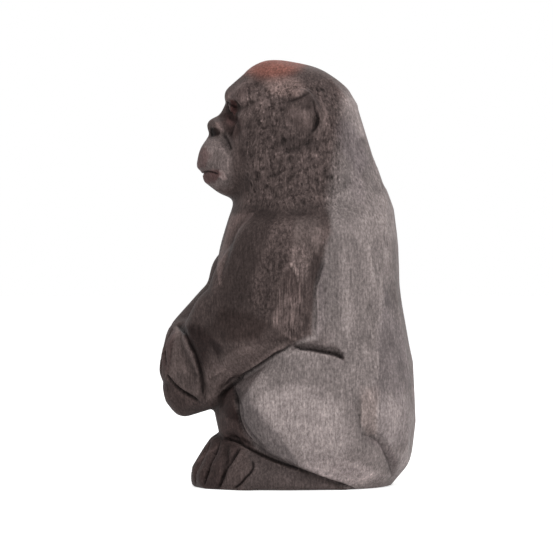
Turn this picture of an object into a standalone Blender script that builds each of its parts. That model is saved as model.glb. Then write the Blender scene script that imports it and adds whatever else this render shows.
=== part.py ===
"""A seated gorilla, carved from one block of close-grained wood.

The block stands on its flat base and the figure faces -Y. Its left side is +X. The carving goes as a
carver works: the trunk and head are sawn to their outlines, the limbs are roughed out as rounded
masses, a knife flattens the rounded wood into facets, and a V-shaped tool and a gouge draw the lines
and hollows that part one form from the next. All sizes below are millimetres.
"""

import math

import bmesh
import bpy
import numpy as np
from mathutils import Vector
from mathutils.bvhtree import BVHTree

MM = 0.001
LEFT, RIGHT = 1, -1

# Fineness of the carved surface: its spacing before it is thinned to the triangles kept, and how often
# the ridges between masses are rounded
GRAIN = 0.75
SOFTENING = 2
FACES_KEPT = 9600

# How far outside the wood a look at it starts, and how far apart the points of a tool line lie
OUTSIDE = 100.0
LINE_STEP = 0.9

# What a cut touches: wood that faces its own way at least this much. The last share of a knife cut's
# reach fades out, and the knife is lifted where more than a share of the wood rises beyond the cut.
KNIFE_FACING = 0.4
LINE_FACING = 0.1
KNIFE_FADE = 0.3
KNIFE_LIFTED = 0.04

# Stained wood
STAIN = (0.085, 0.072, 0.070)
STAIN_ROUGHNESS = 0.62

# Trunk and head, as sections laid on each other like the stations of a hull.
# Each is height, front, back, the depth where it is widest, and half its width there.
STATIONS = [
    (-4.0, -19.0, 33.6, 10.0, 27.5),
    (0.0, -20.0, 37.2, 10.0, 29.5),
    (4.0, -21.0, 41.3, 10.0, 32.5),
    (12.0, -22.0, 44.6, 11.0, 35.0),
    (24.0, -23.5, 45.9, 12.0, 36.3),
    (36.0, -24.5, 45.9, 12.0, 36.0),
    (48.0, -25.5, 44.3, 12.0, 34.8),
    (60.0, -25.5, 42.0, 12.0, 34.0),
    (72.0, -25.4, 40.3, 12.0, 33.6),
    (82.0, -24.6, 39.8, 12.0, 33.0),
    (92.0, -21.8, 39.4, 11.0, 31.0),
    (100.0, -18.6, 37.6, 9.0, 27.0),
    (110.0, -17.5, 33.4, 6.0, 23.4),
    (120.0, -18.0, 30.3, 4.0, 21.4),
    (130.0, -18.8, 27.3, 3.0, 19.2),
    (138.0, -19.3, 23.3, 1.0, 16.2),
    (144.0, -16.0, 16.6, -2.0, 11.8),
    (148.0, -12.0, 9.0, -3.5, 7.4),
    (150.3, -7.5, -2.0, -5.0, 2.5),
]
SECTION_FULLNESS = 2.3
SECTION_POINTS = 64
SECTION_STEP = 1.0

# Limbs and features, as balls: across, depth, height, radius. A mass is the tight skin round its balls.
HAUNCH = [
    (16.0, 13.0, 29.0, 22.0),
    (21.0, -4.0, 33.0, 14.5),
    (21.0, 19.0, 17.0, 15.5),
    (22.0, 0.0, 22.0, 14.0),
]
SHIN = [(17.0, -10.0, 30.0, 12.0), (12.0, -15.3, 21.5, 9.0), (8.0, -18.0, 27.0, 7.6)]
FOOT = [
    (9.5, -29.3, 3.8, 5.2),
    (19.5, -25.6, 3.6, 5.2),
    (26.6, -15.5, 3.6, 5.2),
    (29.0, 0.0, 2.6, 4.6),
    (29.0, 14.0, 1.0, 3.4),
    (10.0, -22.6, 11.8, 6.4),
    (21.5, -16.0, 11.2, 5.6),
    (20.0, 0.0, 5.0, 6.0),
]
SHOULDER = [
    (12.0, 7.0, 105.0, 11.0),
    (22.5, 1.0, 88.0, 11.5),
    (20.0, 15.0, 86.0, 13.4),
    (13.0, -8.0, 95.0, 9.0),
]
UPPER_ARM_LEFT = [
    (24.8, 1.0, 86.0, 11.4),
    (22.5, -8.0, 85.0, 10.6),
    (25.6, 0.0, 61.5, 10.8),
    (20.0, -15.2, 71.5, 11.4),
    (20.4, -18.6, 62.0, 10.6),
]
FOREARM_LEFT = [
    (26.8, -1.5, 60.5, 9.8),
    (24.0, -13.0, 54.0, 10.8),
    (17.5, -23.4, 60.5, 10.0),
    (13.5, -27.2, 53.0, 9.6),
    (13.0, -23.2, 39.6, 8.0),
]
HAND_LEFT = [
    (11.0, -26.5, 35.0, 7.4),
    (1.0, -36.4, 33.6, 7.8),
    (3.0, -36.0, 29.8, 5.6),
    (-7.5, -35.5, 32.4, 7.2),
]
UPPER_ARM_RIGHT = [
    (-24.8, 1.0, 86.0, 11.4),
    (-22.5, -8.0, 85.0, 10.6),
    (-25.6, -4.0, 66.0, 10.8),
    (-19.0, -17.4, 73.8, 10.4),
    (-20.0, -19.0, 63.5, 10.4),
]
FOREARM_RIGHT = [
    (-26.8, -6.0, 63.0, 9.8),
    (-22.0, -18.0, 55.0, 10.4),
    (-17.0, -23.8, 62.6, 9.4),
    (-9.0, -32.4, 52.0, 9.8),
]
HAND_RIGHT = [
    (-6.0, -33.8, 50.5, 9.4),
    (7.0, -34.0, 50.0, 6.5),
    (4.0, -36.2, 46.5, 8.0),
    (3.0, -37.1, 41.5, 8.2),
    (8.5, -32.5, 38.0, 6.2),
]

BROW = [
    (-11.0, -14.2, 137.0, 4.2),
    (-4.5, -18.0, 137.0, 4.1),
    (4.5, -18.0, 137.0, 4.1),
    (11.0, -14.2, 137.0, 4.2),
    (-5.5, -10.5, 141.8, 5.4),
    (5.5, -10.5, 141.8, 5.4),
]
EYE = [(6.7, -17.8, 133.0, 2.7)]
CHEEK = [(11.0, -13.0, 128.0, 5.0), (10.5, -12.5, 121.0, 7.0)]
MUZZLE = [
    (-3.0, -22.2, 114.6, 9.3),
    (3.0, -22.2, 114.6, 9.3),
    (-7.2, -17.0, 113.4, 8.6),
    (7.2, -17.0, 113.4, 8.6),
    (0.0, -20.4, 118.0, 9.0),
    (-3.0, -27.3, 113.0, 4.6),
    (3.0, -27.3, 113.0, 4.6),
]
CHIN = [
    (-3.4, -27.6, 109.0, 2.6),
    (3.4, -27.6, 109.0, 2.6),
    (-6.0, -20.2, 107.6, 6.0),
    (6.0, -20.2, 107.6, 6.0),
]
BRIDGE = [
    (-1.0, -18.9, 134.3, 2.4),
    (1.0, -18.9, 134.3, 2.4),
    (0.0, -21.4, 129.2, 2.8),
    (0.0, -14.0, 130.0, 6.0),
]
NOSE = [
    (0.0, -21.6, 128.8, 2.6),
    (0.0, -25.4, 126.6, 3.0),
    (-4.4, -23.8, 125.6, 3.0),
    (4.4, -23.8, 125.6, 3.0),
    (-4.0, -17.0, 125.0, 4.0),
    (4.0, -17.0, 125.0, 4.0),
]
RUFF = [
    (10.5, 4.0, 134.0, 8.0),
    (13.6, -4.5, 123.0, 8.6),
    (14.0, -6.5, 112.0, 8.8),
    (14.6, -2.0, 105.0, 9.0),
    (17.0, 4.0, 104.5, 8.4),
    (15.0, 14.0, 110.0, 9.2),
    (12.5, 12.0, 126.0, 9.0),
]
EAR = [(18.0, 5.4, 136.0, 3.6), (19.4, 7.6, 130.4, 4.2), (18.8, 6.2, 126.0, 3.2), (18.4, 3.0, 131.0, 3.6)]

# Gouged hollows, as the ball that each takes out
EYE_CORNER = (10.4, -18.6, 133.4, 2.4)
NOSTRIL = (4.9, -27.4, 124.4, 2.2)
ELBOW_POCKET = (27.0, -23.0, 32.5, 5.5)
FEET_VALLEY = [(0.0, -35.0, 2.0, 5.0), (0.0, -32.0, 9.0, 5.0), (0.0, -29.0, 16.0, 5.0)]

# What the knife spares, so that it keeps its round forms: the face, ahead of this depth and above this
# height, and the ears, as the ball round each that no facet is centred in
FACE_BACK = -10.0
FACE_LOW = 101.0
EAR_ROOM = (19.0, 5.5, 130.5, 14.0)

# Knife facets: how far apart they lie, how deep they go, how far one reaches and how much longer it
# is along the grain, and how much their places stray
FACET_RISE = 13.0
FACET_SPREAD = 11.0
FACET_DEPTH = 0.6
FACET_REACH = 10.0
FACET_STRETCH = 1.7
FACET_STRAY = 2.5
FACET_SEED = 11

# Tool lines on each side. Each has its points, as depth and height where they show from the side,
# then its depth of cut, its width above or behind the line, its width below or in front of it, and
# the length over which the tool runs out at the ends.
SIDE_LINES = {
    "elbow fold": (
        [(-24.6, 33.0), (-19.4, 37.5), (-13.2, 41.3), (-6.3, 45.4), (-1.8, 48.4)],
        2.0, 1.4, 6.0, 5.0,
    ),
    "elbow sickle": (
        [(-1.8, 48.4), (2.4, 49.8), (7.5, 49.1), (12.7, 48.0), (19.0, 46.3)],
        1.8, 2.8, 2.0, 4.0,
    ),
    "arm rear": ([(11.6, 80.6), (9.9, 71.3), (8.9, 66.1), (9.2, 52.0)], 1.4, 3.6, 1.8, 9.0),
    "arm front": ([(-8.0, 99.2), (-16.4, 92.3), (-20.5, 83.2), (-24.0, 71.1)], 1.6, 1.6, 4.5, 5.0),
    "foot top": (
        [(-21.0, 18.7), (-14.9, 16.6), (-9.1, 13.5), (-1.1, 9.7), (7.5, 5.9), (15.1, 3.1), (22.0, 0.7)],
        2.2, 1.2, 5.0, 4.0,
    ),
    "thigh front": (
        [(-19.4, 35.4), (-16.6, 29.6), (-15.6, 23.4), (-11.1, 17.2), (-6.5, 12.8)],
        1.8, 1.6, 6.0, 5.0,
    ),
    "buttock": ([(24.7, 19.9), (30.3, 17.2), (34.0, 11.0), (36.1, 2.5)], 1.8, 7.0, 1.6, 6.0),
    "hair edge": (
        [(-14.3, 101.6), (-9.0, 98.8), (-3.5, 97.2), (1.7, 96.9), (6.5, 98.0), (11.0, 100.6)],
        1.2, 1.4, 5.5, 4.0,
    ),
    "muzzle rear": (
        [(-24.6, 123.0), (-22.4, 121.6), (-20.8, 118.5), (-19.4, 115.4), (-17.8, 111.0), (-16.4, 105.9)],
        1.5, 1.8, 1.8, 4.0,
    ),
    "cheek fold": ([(-18.0, 129.0), (-17.2, 124.1), (-16.4, 119.6), (-14.6, 113.3)], 1.2, 1.8, 1.8, 4.0),
    "ear hollow": (
        [(6.0, 134.6), (8.4, 133.0), (9.9, 130.4), (10.2, 127.8), (9.2, 125.3)],
        1.7, 1.2, 3.4, 2.5,
    ),
    "ear top": ([(-0.1, 134.9), (3.8, 136.4), (7.6, 138.4)], 0.9, 1.2, 1.6, 3.0),
}

# Lines on the front: points as across and height where they show from the front, then as above
FRONT_LINES = {
    "mouth": (
        [(-10.4, 111.0), (-7.0, 110.2), (-3.0, 109.9), (3.0, 109.9), (7.0, 110.2), (10.4, 111.0)],
        1.6, 1.6, 1.6, 2.5,
    ),
    "lip furrow": ([(0.0, 122.6), (0.0, 119.0), (0.0, 114.5)], 0.4, 1.6, 1.6, 3.0),
    "breast": ([(0.0, 97.0), (0.0, 84.0), (0.0, 72.0)], 0.9, 6.0, 6.0, 8.0),
}

# Toes and fingers: the places that the line between two of them passes, and its cut
TOE_CUT = (1.7, 1.7, 1.7, 4.0)
FINGER_CUT = (1.2, 1.6, 1.6, 4.0)
TOE_GAPS = [
    [(6.5, -27.0, 15.0), (8.6, -31.0, 9.0), (9.5, -34.5, 1.0)],
    [(10.8, -25.8, 15.2), (14.0, -29.0, 9.0), (15.8, -32.6, 1.0)],
    [(15.0, -22.8, 15.4), (19.6, -25.4, 9.0), (22.2, -28.6, 1.0)],
    [(19.4, -19.2, 14.4), (25.0, -20.6, 9.0), (28.0, -22.6, 1.0)],
]
FINGER_GAPS_RIGHT = [
    [(-3.0, -43.5, 54.0), (2.0, -44.5, 47.0), (5.0, -45.0, 38.5)],
    [(-6.5, -43.5, 50.5), (-2.5, -45.0, 43.5), (0.5, -45.0, 36.5)],
    [(0.5, -42.5, 57.0), (5.0, -43.5, 50.0), (8.5, -42.5, 42.0)],
]
FINGER_GAPS_LEFT = [
    [(2.0, -43.5, 32.0), (-5.0, -43.5, 31.2), (-12.0, -40.0, 31.5)],
    [(3.0, -41.5, 28.0), (-4.0, -41.0, 27.2), (-10.5, -38.5, 27.6)],
    [(-4.0, -43.5, 35.6), (-9.0, -42.0, 35.6), (-13.5, -38.0, 35.4)],
]


def clear_scene():
    for thing in list(bpy.data.objects):
        bpy.data.objects.remove(thing, do_unlink=True)


def mirrored(balls):
    return [(-x, y, z, r) for x, y, z, r in balls]


def smooth_row(rows, key):
    """The row at any key, on a smooth curve through the rows given in the order of their first value."""
    keys = [row[0] for row in rows]
    at = int(np.clip(np.searchsorted(keys, key) - 1, 0, len(rows) - 2))
    before, low, high, after = [
        np.array(rows[int(np.clip(i, 0, len(rows) - 1))], float) for i in range(at - 1, at + 3)
    ]
    span = high[0] - low[0]
    t = (key - low[0]) / span
    rise_low = (high - before) / (high[0] - before[0]) * span
    rise_high = (after - low) / (after[0] - low[0]) * span
    return (
        low * (1 + 2 * t) * (1 - t) ** 2
        + rise_low * t * (1 - t) ** 2
        + high * t * t * (3 - 2 * t)
        + rise_high * t * t * (t - 1)
    )


def add_trunk(body):
    """The loft through the stations, closed below and at the crown."""
    first, last = STATIONS[0][0], STATIONS[-1][0]
    rings = []
    for height in np.linspace(first, last, round((last - first) / SECTION_STEP) + 1):
        _, front, back, widest, half_width = smooth_row(STATIONS, height)
        ring = []
        for k in range(SECTION_POINTS):
            turn = 2 * math.pi * k / SECTION_POINTS
            across, along = math.cos(turn), math.sin(turn)
            power = 2 / SECTION_FULLNESS
            x = half_width * math.copysign(abs(across) ** power, across)
            reach = (back - widest) if along > 0 else (widest - front)
            y = widest + reach * math.copysign(abs(along) ** power, along)
            ring.append(body.verts.new((x, y, height)))
        rings.append(ring)
    for lower, upper in zip(rings, rings[1:]):
        for k in range(SECTION_POINTS):
            following = (k + 1) % SECTION_POINTS
            body.faces.new((lower[k], lower[following], upper[following], upper[k]))
    body.faces.new(list(reversed(rings[0])))
    body.faces.new(rings[-1])


def add_mass(body, balls):
    """A rounded mass: the tight skin round a few balls."""
    mass = bmesh.new()
    for x, y, z, radius in balls:
        made = bmesh.ops.create_icosphere(mass, subdivisions=3, radius=radius)
        bmesh.ops.translate(mass, verts=made["verts"], vec=(x, y, z))
    bmesh.ops.delete(mass, geom=list(mass.edges), context="EDGES_FACES")
    bmesh.ops.convex_hull(mass, input=list(mass.verts))
    bmesh.ops.delete(mass, geom=[v for v in mass.verts if not v.link_faces], context="VERTS")
    bmesh.ops.recalc_face_normals(mass, faces=mass.faces)
    mesh = bpy.data.meshes.new("mass")
    mass.to_mesh(mesh)
    mass.free()
    body.from_mesh(mesh)
    bpy.data.meshes.remove(mesh)


def rough_block():
    """Trunk, limbs and features as closed masses that still pass through each other."""
    body = bmesh.new()
    add_trunk(body)
    for balls in (HAUNCH, SHIN, FOOT, SHOULDER, EYE, CHEEK, RUFF, EAR):
        add_mass(body, balls)
        add_mass(body, mirrored(balls))
    for balls in (UPPER_ARM_LEFT, UPPER_ARM_RIGHT, FOREARM_LEFT, FOREARM_RIGHT, HAND_LEFT, HAND_RIGHT):
        add_mass(body, balls)
    for balls in (BROW, MUZZLE, CHIN, BRIDGE, NOSE):
        add_mass(body, balls)
    bmesh.ops.scale(body, vec=(MM, MM, MM), verts=body.verts)
    mesh = bpy.data.meshes.new("rough_block")
    body.to_mesh(mesh)
    body.free()
    return bpy.data.objects.new("rough_block", mesh)


def applied(thing):
    """The mesh that an object's modifiers make, with the object gone."""
    bpy.context.scene.collection.objects.link(thing)
    graph = bpy.context.evaluated_depsgraph_get()
    mesh = bpy.data.meshes.new_from_object(thing.evaluated_get(graph))
    bpy.data.objects.remove(thing)
    return mesh


def fused(rough):
    """The masses as one skin, with the ridges where they meet a little rounded."""
    one = rough.modifiers.new("one_skin", "REMESH")
    one.mode = "VOXEL"
    one.voxel_size = GRAIN * MM
    soft = rough.modifiers.new("softened", "SMOOTH")
    soft.factor = 0.5
    soft.iterations = round(SOFTENING)
    return applied(rough)


class Wood:
    """The skin of the block, in millimetres, and the tools that work on it."""

    def __init__(self, mesh):
        self.mesh = mesh
        flat = np.empty(len(mesh.vertices) * 3, np.float32)
        mesh.vertices.foreach_get("co", flat)
        self.points = flat.reshape(-1, 3).astype(float) / MM
        self.settle()

    def settle(self):
        """Takes the cuts made so far as the surface that the next tool meets."""
        self.mesh.vertices.foreach_set("co", (self.points * MM).astype(np.float32).ravel())
        self.mesh.update()
        normals = np.empty(len(self.points) * 3, np.float32)
        self.mesh.vertex_normals.foreach_get("vector", normals)
        self.normals = normals.reshape(-1, 3).astype(float)
        faces = [tuple(face.vertices) for face in self.mesh.polygons]
        self.tree = BVHTree.FromPolygons([Vector(p) for p in self.points], faces)

    def near(self, place, radius):
        return np.flatnonzero(((self.points - place) ** 2).sum(axis=1) < radius * radius)

    def met_from(self, start, way):
        """Where a straight look from outside meets the wood, and how the wood faces there."""
        place, facing, _, _ = self.tree.ray_cast(Vector(start), Vector(way))
        return None if place is None else (np.array(place), np.array(facing))

    def slice_flat(self, place, depth, reach, stretch):
        """One knife cut: a flat facet where the wood bulges past a plane a little below its surface."""
        span = (self.points - place) / (1.0, 1.0, stretch)
        away = np.sqrt((span**2).sum(axis=1))
        close = np.flatnonzero(away < reach)
        facing = self.normals[close[away[close] < reach / 2]].mean(axis=0)
        facing /= np.linalg.norm(facing)
        met = close[self.normals[close] @ facing > KNIFE_FACING]
        proud = (self.points[met] - place) @ facing + depth
        if (proud > 2 * depth).mean() < KNIFE_LIFTED:
            rim = np.clip((reach - away[met]) / (KNIFE_FADE * reach), 0, 1)
            self.points[met] -= (np.clip(proud, 0, depth) * rim)[:, None] * facing

    def scoop(self, place, radius):
        """A gouge's hollow: the ball at this place is taken out of the wood."""
        inside = self.near(place, radius)
        away = self.points[inside] - place
        away /= np.linalg.norm(away, axis=1)[:, None]
        self.points[inside] = place + away * radius

    def draw_line(self, places, depth, left, right, run_out):
        """A V-shaped cut along places on the wood, deepest on the line, fading over its run_out."""
        line = np.array([place for place, _ in places])
        facing = np.array([way for _, way in places])
        steps = np.linalg.norm(np.diff(line, axis=0), axis=1)
        gone = np.concatenate([[0.0], np.cumsum(steps)])
        low = line.min(axis=0) - max(left, right)
        high = line.max(axis=0) + max(left, right)
        close = np.flatnonzero(((self.points > low) & (self.points < high)).all(axis=1))
        at, to = line[:-1], line[1:]
        run = to - at
        offset = self.points[close][:, None, :] - at[None]
        share = np.clip((offset * run).sum(axis=2) / (run * run).sum(axis=1), 0, 1)
        miss = offset - share[:, :, None] * run
        which = (miss**2).sum(axis=2).argmin(axis=1)
        row = np.arange(len(close))
        miss, share = miss[row, which], share[row, which]
        normal = facing[which]
        aside = np.cross(normal, run[which] / np.linalg.norm(run[which], axis=1)[:, None])
        sideways = (miss * aside).sum(axis=1)
        width = np.where(sideways > 0, left, right)
        length = gone[which] + share * steps[which]
        fade = np.clip(np.minimum(length, gone[-1] - length) / run_out, 0, 1)
        flatness = np.linalg.norm(miss, axis=1) / width
        cut = depth * fade * np.clip(1 - flatness, 0, 1)
        cut[(self.normals[close] * normal).sum(axis=1) < LINE_FACING] = 0
        self.points[close] -= cut[:, None] * normal


def along(points):
    """Closely spaced points on a smooth curve through the ones given."""
    points = np.array(points, float)
    steps = np.linalg.norm(np.diff(points, axis=0), axis=1)
    gone = np.concatenate([[0.0], np.cumsum(steps)])
    rows = np.column_stack([gone, points])
    return [smooth_row(rows, at)[1:] for at in np.linspace(0, gone[-1], int(gone[-1] / LINE_STEP) + 2)]


def on_side(wood, line, side):
    """A line drawn as depth and height, laid on the wood where it shows from one side."""
    met = [wood.met_from((side * OUTSIDE, y, z), (-side, 0.0, 0.0)) for y, z in along(line)]
    return [m for m in met if m]


def on_front(wood, line):
    """A line drawn across and up, laid on the wood where it shows from the front."""
    met = [wood.met_from((x, -OUTSIDE, z), (0.0, 1.0, 0.0)) for x, z in along(line)]
    return [m for m in met if m]


def on_nearest(wood, line):
    """A line drawn in space, laid on the nearest wood."""
    met = [wood.tree.find_nearest(Vector(place)) for place in along(line)]
    return [(np.array(place), np.array(facing)) for place, facing, _, _ in met]


def spared(place):
    """Whether the knife leaves a place alone."""
    x, y, z, room = EAR_ROOM
    at_ear = math.dist((abs(place[0]), place[1], place[2]), (x, y, z)) < room
    return at_ear or (place[1] < FACE_BACK and place[2] > FACE_LOW)


def cut_facets(wood):
    """Flat knife cuts in rows round the figure, each row turned against the one below."""
    rng = np.random.default_rng(FACET_SEED)
    top = STATIONS[-1][0]
    for row, height in enumerate(np.arange(FACET_RISE / 2, top, FACET_RISE)):
        _, front, back, widest, half_width = smooth_row(STATIONS, height)
        girth = math.pi * (half_width + (back - front) / 2)
        count = max(4, round(girth / FACET_SPREAD))
        for k in range(count):
            turn = 2 * math.pi * (k + 0.5 * (row % 2)) / count
            stray = rng.uniform(-FACET_STRAY, FACET_STRAY, 3)
            way = np.array([math.cos(turn), math.sin(turn), 0.0])
            aim = np.array([0.0, widest, height]) + stray
            met = wood.met_from(aim + OUTSIDE * way, -way)
            if met and not spared(met[0]):
                wood.slice_flat(met[0], FACET_DEPTH, FACET_REACH, FACET_STRETCH)


def carve_sides(wood):
    """The lines that show on both sides of the figure."""
    for drawn, depth, behind, before, run_out in SIDE_LINES.values():
        wood.draw_line(on_side(wood, drawn, LEFT), depth, behind, before, run_out)
        wood.draw_line(on_side(wood, drawn, RIGHT), depth, before, behind, run_out)


def carve_front(wood):
    """Mouth, lip and breast, the gaps between the toes, and the gaps between the fingers."""
    for drawn, *cut in FRONT_LINES.values():
        wood.draw_line(on_front(wood, drawn), *cut)
    for gap in TOE_GAPS:
        for side in (LEFT, RIGHT):
            wood.draw_line(on_nearest(wood, [(side * x, y, z) for x, y, z in gap]), *TOE_CUT)
    for gap in FINGER_GAPS_RIGHT + FINGER_GAPS_LEFT:
        wood.draw_line(on_nearest(wood, gap), *FINGER_CUT)


def gouge_hollows(wood):
    """Eye corners, nostrils, the pockets under the elbows and the valley between the feet."""
    for x, y, z, radius in (EYE_CORNER, NOSTRIL, ELBOW_POCKET):
        for side in (LEFT, RIGHT):
            wood.scoop(np.array([side * x, y, z]), radius)
    for x, y, z, radius in FEET_VALLEY:
        wood.scoop(np.array([x, y, z]), radius)


def level_base(mesh):
    """The base sawn off flat at height 0."""
    body = bmesh.new()
    body.from_mesh(mesh)
    geometry = list(body.verts) + list(body.edges) + list(body.faces)
    sawn = bmesh.ops.bisect_plane(
        body, geom=geometry, dist=1e-7, plane_co=(0, 0, 0), plane_no=(0, 0, 1), clear_inner=True
    )
    rim = [edge for edge in sawn["geom_cut"] if isinstance(edge, bmesh.types.BMEdge)]
    bmesh.ops.holes_fill(body, edges=rim, sides=0)
    body.to_mesh(mesh)
    body.free()


def without_pockets(mesh):
    """The outer skin alone, with the small closed pockets between masses filled."""
    body = bmesh.new()
    body.from_mesh(mesh)
    left = set(body.verts)
    shells = []
    while left:
        shell, edge_of_search = set(), [left.pop()]
        while edge_of_search:
            vertex = edge_of_search.pop()
            shell.add(vertex)
            for edge in vertex.link_edges:
                other = edge.other_vert(vertex)
                if other in left:
                    left.discard(other)
                    edge_of_search.append(other)
        shells.append(shell)
    outer = max(shells, key=len)
    inner = [vertex for shell in shells if shell is not outer for vertex in shell]
    bmesh.ops.delete(body, geom=inner, context="VERTS")
    body.to_mesh(mesh)
    body.free()


def centred(mesh):
    """The mesh moved so that its box is centred over the base's origin."""
    flat = np.empty(len(mesh.vertices) * 3, np.float32)
    mesh.vertices.foreach_get("co", flat)
    points = flat.reshape(-1, 3)
    points[:, :2] -= (points[:, :2].min(axis=0) + points[:, :2].max(axis=0)) / 2
    mesh.vertices.foreach_set("co", points.ravel())
    mesh.update()
    return mesh


def stained_wood():
    """Dark brown stain over close-grained wood, with the dull shine of wax."""
    material = bpy.data.materials.new("stained_wood")
    material.use_nodes = True
    surface = material.node_tree.nodes["Principled BSDF"]
    surface.inputs["Base Color"].default_value = (*STAIN, 1.0)
    surface.inputs["Roughness"].default_value = STAIN_ROUGHNESS
    surface.inputs["Metallic"].default_value = 0.0
    return material


def main():
    clear_scene()
    mesh = fused(rough_block())
    without_pockets(mesh)
    wood = Wood(mesh)
    cut_facets(wood)
    wood.settle()
    carve_sides(wood)
    carve_front(wood)
    gouge_hollows(wood)
    wood.settle()
    carved = bpy.data.objects.new("carved_block", mesh)
    fewer = carved.modifiers.new("fewer_faces", "DECIMATE")
    fewer.ratio = FACES_KEPT / (2 * len(mesh.polygons))
    thinned = applied(carved)
    level_base(thinned)
    figure = bpy.data.objects.new("gorilla", centred(thinned))
    figure.data.materials.append(stained_wood())
    bpy.context.scene.collection.objects.link(figure)


main()
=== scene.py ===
# %% [markdown]
# A seated gorilla about as tall as a hand, carved from one block of close-grained wood, stained nearly
# black and rubbed back to silver grey on the back and haunches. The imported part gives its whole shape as
# one plain solid. What is missing is what makes it look carved: the flat marks of the knife, crisp tool
# lines, gouged hair, and a stain that has sunk into the grain. This lesson adds them in that order.
#
# All sizes below are in millimetres, and MM turns them into Blender's metres. The figure faces -Y and
# its left side is +X. A place on the side of it is written as (depth, height), which is (y, z).

import math

import bmesh
import bpy
import numpy as np
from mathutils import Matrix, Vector
from mathutils.bvhtree import BVHTree


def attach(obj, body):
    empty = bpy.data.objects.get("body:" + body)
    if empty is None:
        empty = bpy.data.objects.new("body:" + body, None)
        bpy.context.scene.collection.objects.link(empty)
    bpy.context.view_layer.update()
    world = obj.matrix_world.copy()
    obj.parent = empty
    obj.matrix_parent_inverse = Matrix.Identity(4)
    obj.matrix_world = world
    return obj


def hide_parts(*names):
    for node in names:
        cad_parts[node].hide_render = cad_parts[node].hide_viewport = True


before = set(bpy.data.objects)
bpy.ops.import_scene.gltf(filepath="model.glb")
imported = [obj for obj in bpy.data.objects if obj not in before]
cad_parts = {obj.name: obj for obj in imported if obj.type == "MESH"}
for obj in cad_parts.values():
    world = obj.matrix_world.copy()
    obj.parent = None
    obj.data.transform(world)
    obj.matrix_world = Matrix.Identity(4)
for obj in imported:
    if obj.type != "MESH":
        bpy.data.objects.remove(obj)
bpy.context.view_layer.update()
MM = 0.001
LEFT, RIGHT = 1, -1

# %% [markdown]
# The part's solid is a few thousand triangles, too coarse to carve. Subdividing it would keep its long
# thin triangles. A Remesh modifier in its voxel mode lays an even net of small squares over it instead,
# which takes every cut equally well, and smoothing then takes out the corners of the old triangles.

# %% A fine skin over the part's shape
SKIN_SPACING = 0.46


def mesh_of(thing):
    """The plain mesh that an object's modifiers make."""
    graph = bpy.context.evaluated_depsgraph_get()
    return bpy.data.meshes.new_from_object(thing.evaluated_get(graph))


def merged_copy(node):
    """A copy of a node of the part whose loose triangles share their corners."""
    body = bmesh.new()
    body.from_mesh(node.data)
    bmesh.ops.remove_doubles(body, verts=body.verts, dist=0.001 * MM)
    mesh = bpy.data.meshes.new("carved_gorilla")
    body.to_mesh(mesh)
    body.free()
    thing = bpy.data.objects.new("carved_gorilla", mesh)
    bpy.context.scene.collection.objects.link(thing)
    return thing


figure = merged_copy(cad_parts["gorilla"])
net = figure.modifiers.new("even_net", "REMESH")
net.mode = "VOXEL"
net.voxel_size = SKIN_SPACING * MM
skin = mesh_of(figure)
figure.modifiers.clear()
figure.data = skin
print("points in the skin:", len(skin.vertices))

# %% Helpers that read the skin as arrays of numbers


def read(mesh, what, name, width, kind=np.float32):
    """One property of all the points or edges of a mesh, as an array with a row for each."""
    flat = np.empty(len(getattr(mesh, what)) * width, kind)
    getattr(mesh, what).foreach_get(name, flat)
    return flat.reshape(-1, width)


def neighbours_mean(values, edges):
    """For each point, the mean of a value over the points that an edge joins to it."""
    size = len(values)
    first, second = edges.T
    count = np.bincount(edges.ravel(), minlength=size)
    total = [
        np.bincount(first, column[second], size) + np.bincount(second, column[first], size)
        for column in values.T
    ]
    return np.column_stack(total) / np.maximum(count, 1)[:, None]


def step(value, low, high):
    """0 below low, 1 above high, and smooth between them."""
    t = np.clip((value - low) / (high - low), 0, 1)
    return t * t * (3 - 2 * t)


def distance_to_line(y, z, drawn):
    """How far a place is from a line, both drawn as depth and height."""
    drawn = np.array(drawn, float)
    best = np.full(len(y), np.inf)
    for (y0, z0), (dy, dz) in zip(drawn[:-1], np.diff(drawn, axis=0)):
        share = np.clip(((y - y0) * dy + (z - z0) * dz) / (dy * dy + dz * dz), 0, 1)
        best = np.minimum(best, np.hypot(y - y0 - share * dy, z - z0 - share * dz))
    return best


points = read(skin, "vertices", "co", 3).astype(float) / MM
edges = read(skin, "edges", "vertices", 2, np.int32)
print("mean edge, mm:", round(np.linalg.norm(points[edges[:, 0]] - points[edges[:, 1]], axis=1).mean(), 2))

# %% [markdown]
# On the real figure the broad forms are smooth and the face, ears and fingers are crisp. The same
# smoothing everywhere would blur the small forms, so each point gets its own share of it: a small one
# where the carving is fine, or where a fold has to stay open, and a large one on the broad wood.

# %% Smooth the broad wood more than the fine forms
ROUNDS_OF_SMOOTHING = 90
BROAD_SHARE, FINE_SHARE = 0.5, 0.04
EAR = (19.0, 6.0, 130.5)
OPEN_FOLDS = [
    [(-24.6, 31.6), (-15.0, 40.2), (-3.9, 47.7), (1.3, 50.5)],
    [(-23.8, 17.4), (-15.7, 15.9), (-7.3, 12.3), (4.1, 8.0), (18.6, 1.8)],
    [(-18.9, 36.5), (-15.7, 24.2), (-10.5, 15.2)],
]
JAW = [(-17.0, 119.5), (-16.8, 113.0), (-18.5, 106.0), (-21.5, 102.5)]
MIDDLE_OF_THE_LIPS = (-27.0, 110.0)


def distance_to_ear(x, y, z):
    """How far a place is from the middle of the ear on its own side."""
    return np.linalg.norm((np.abs(x) - EAR[0], y - EAR[1], z - EAR[2]), axis=0)


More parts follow.
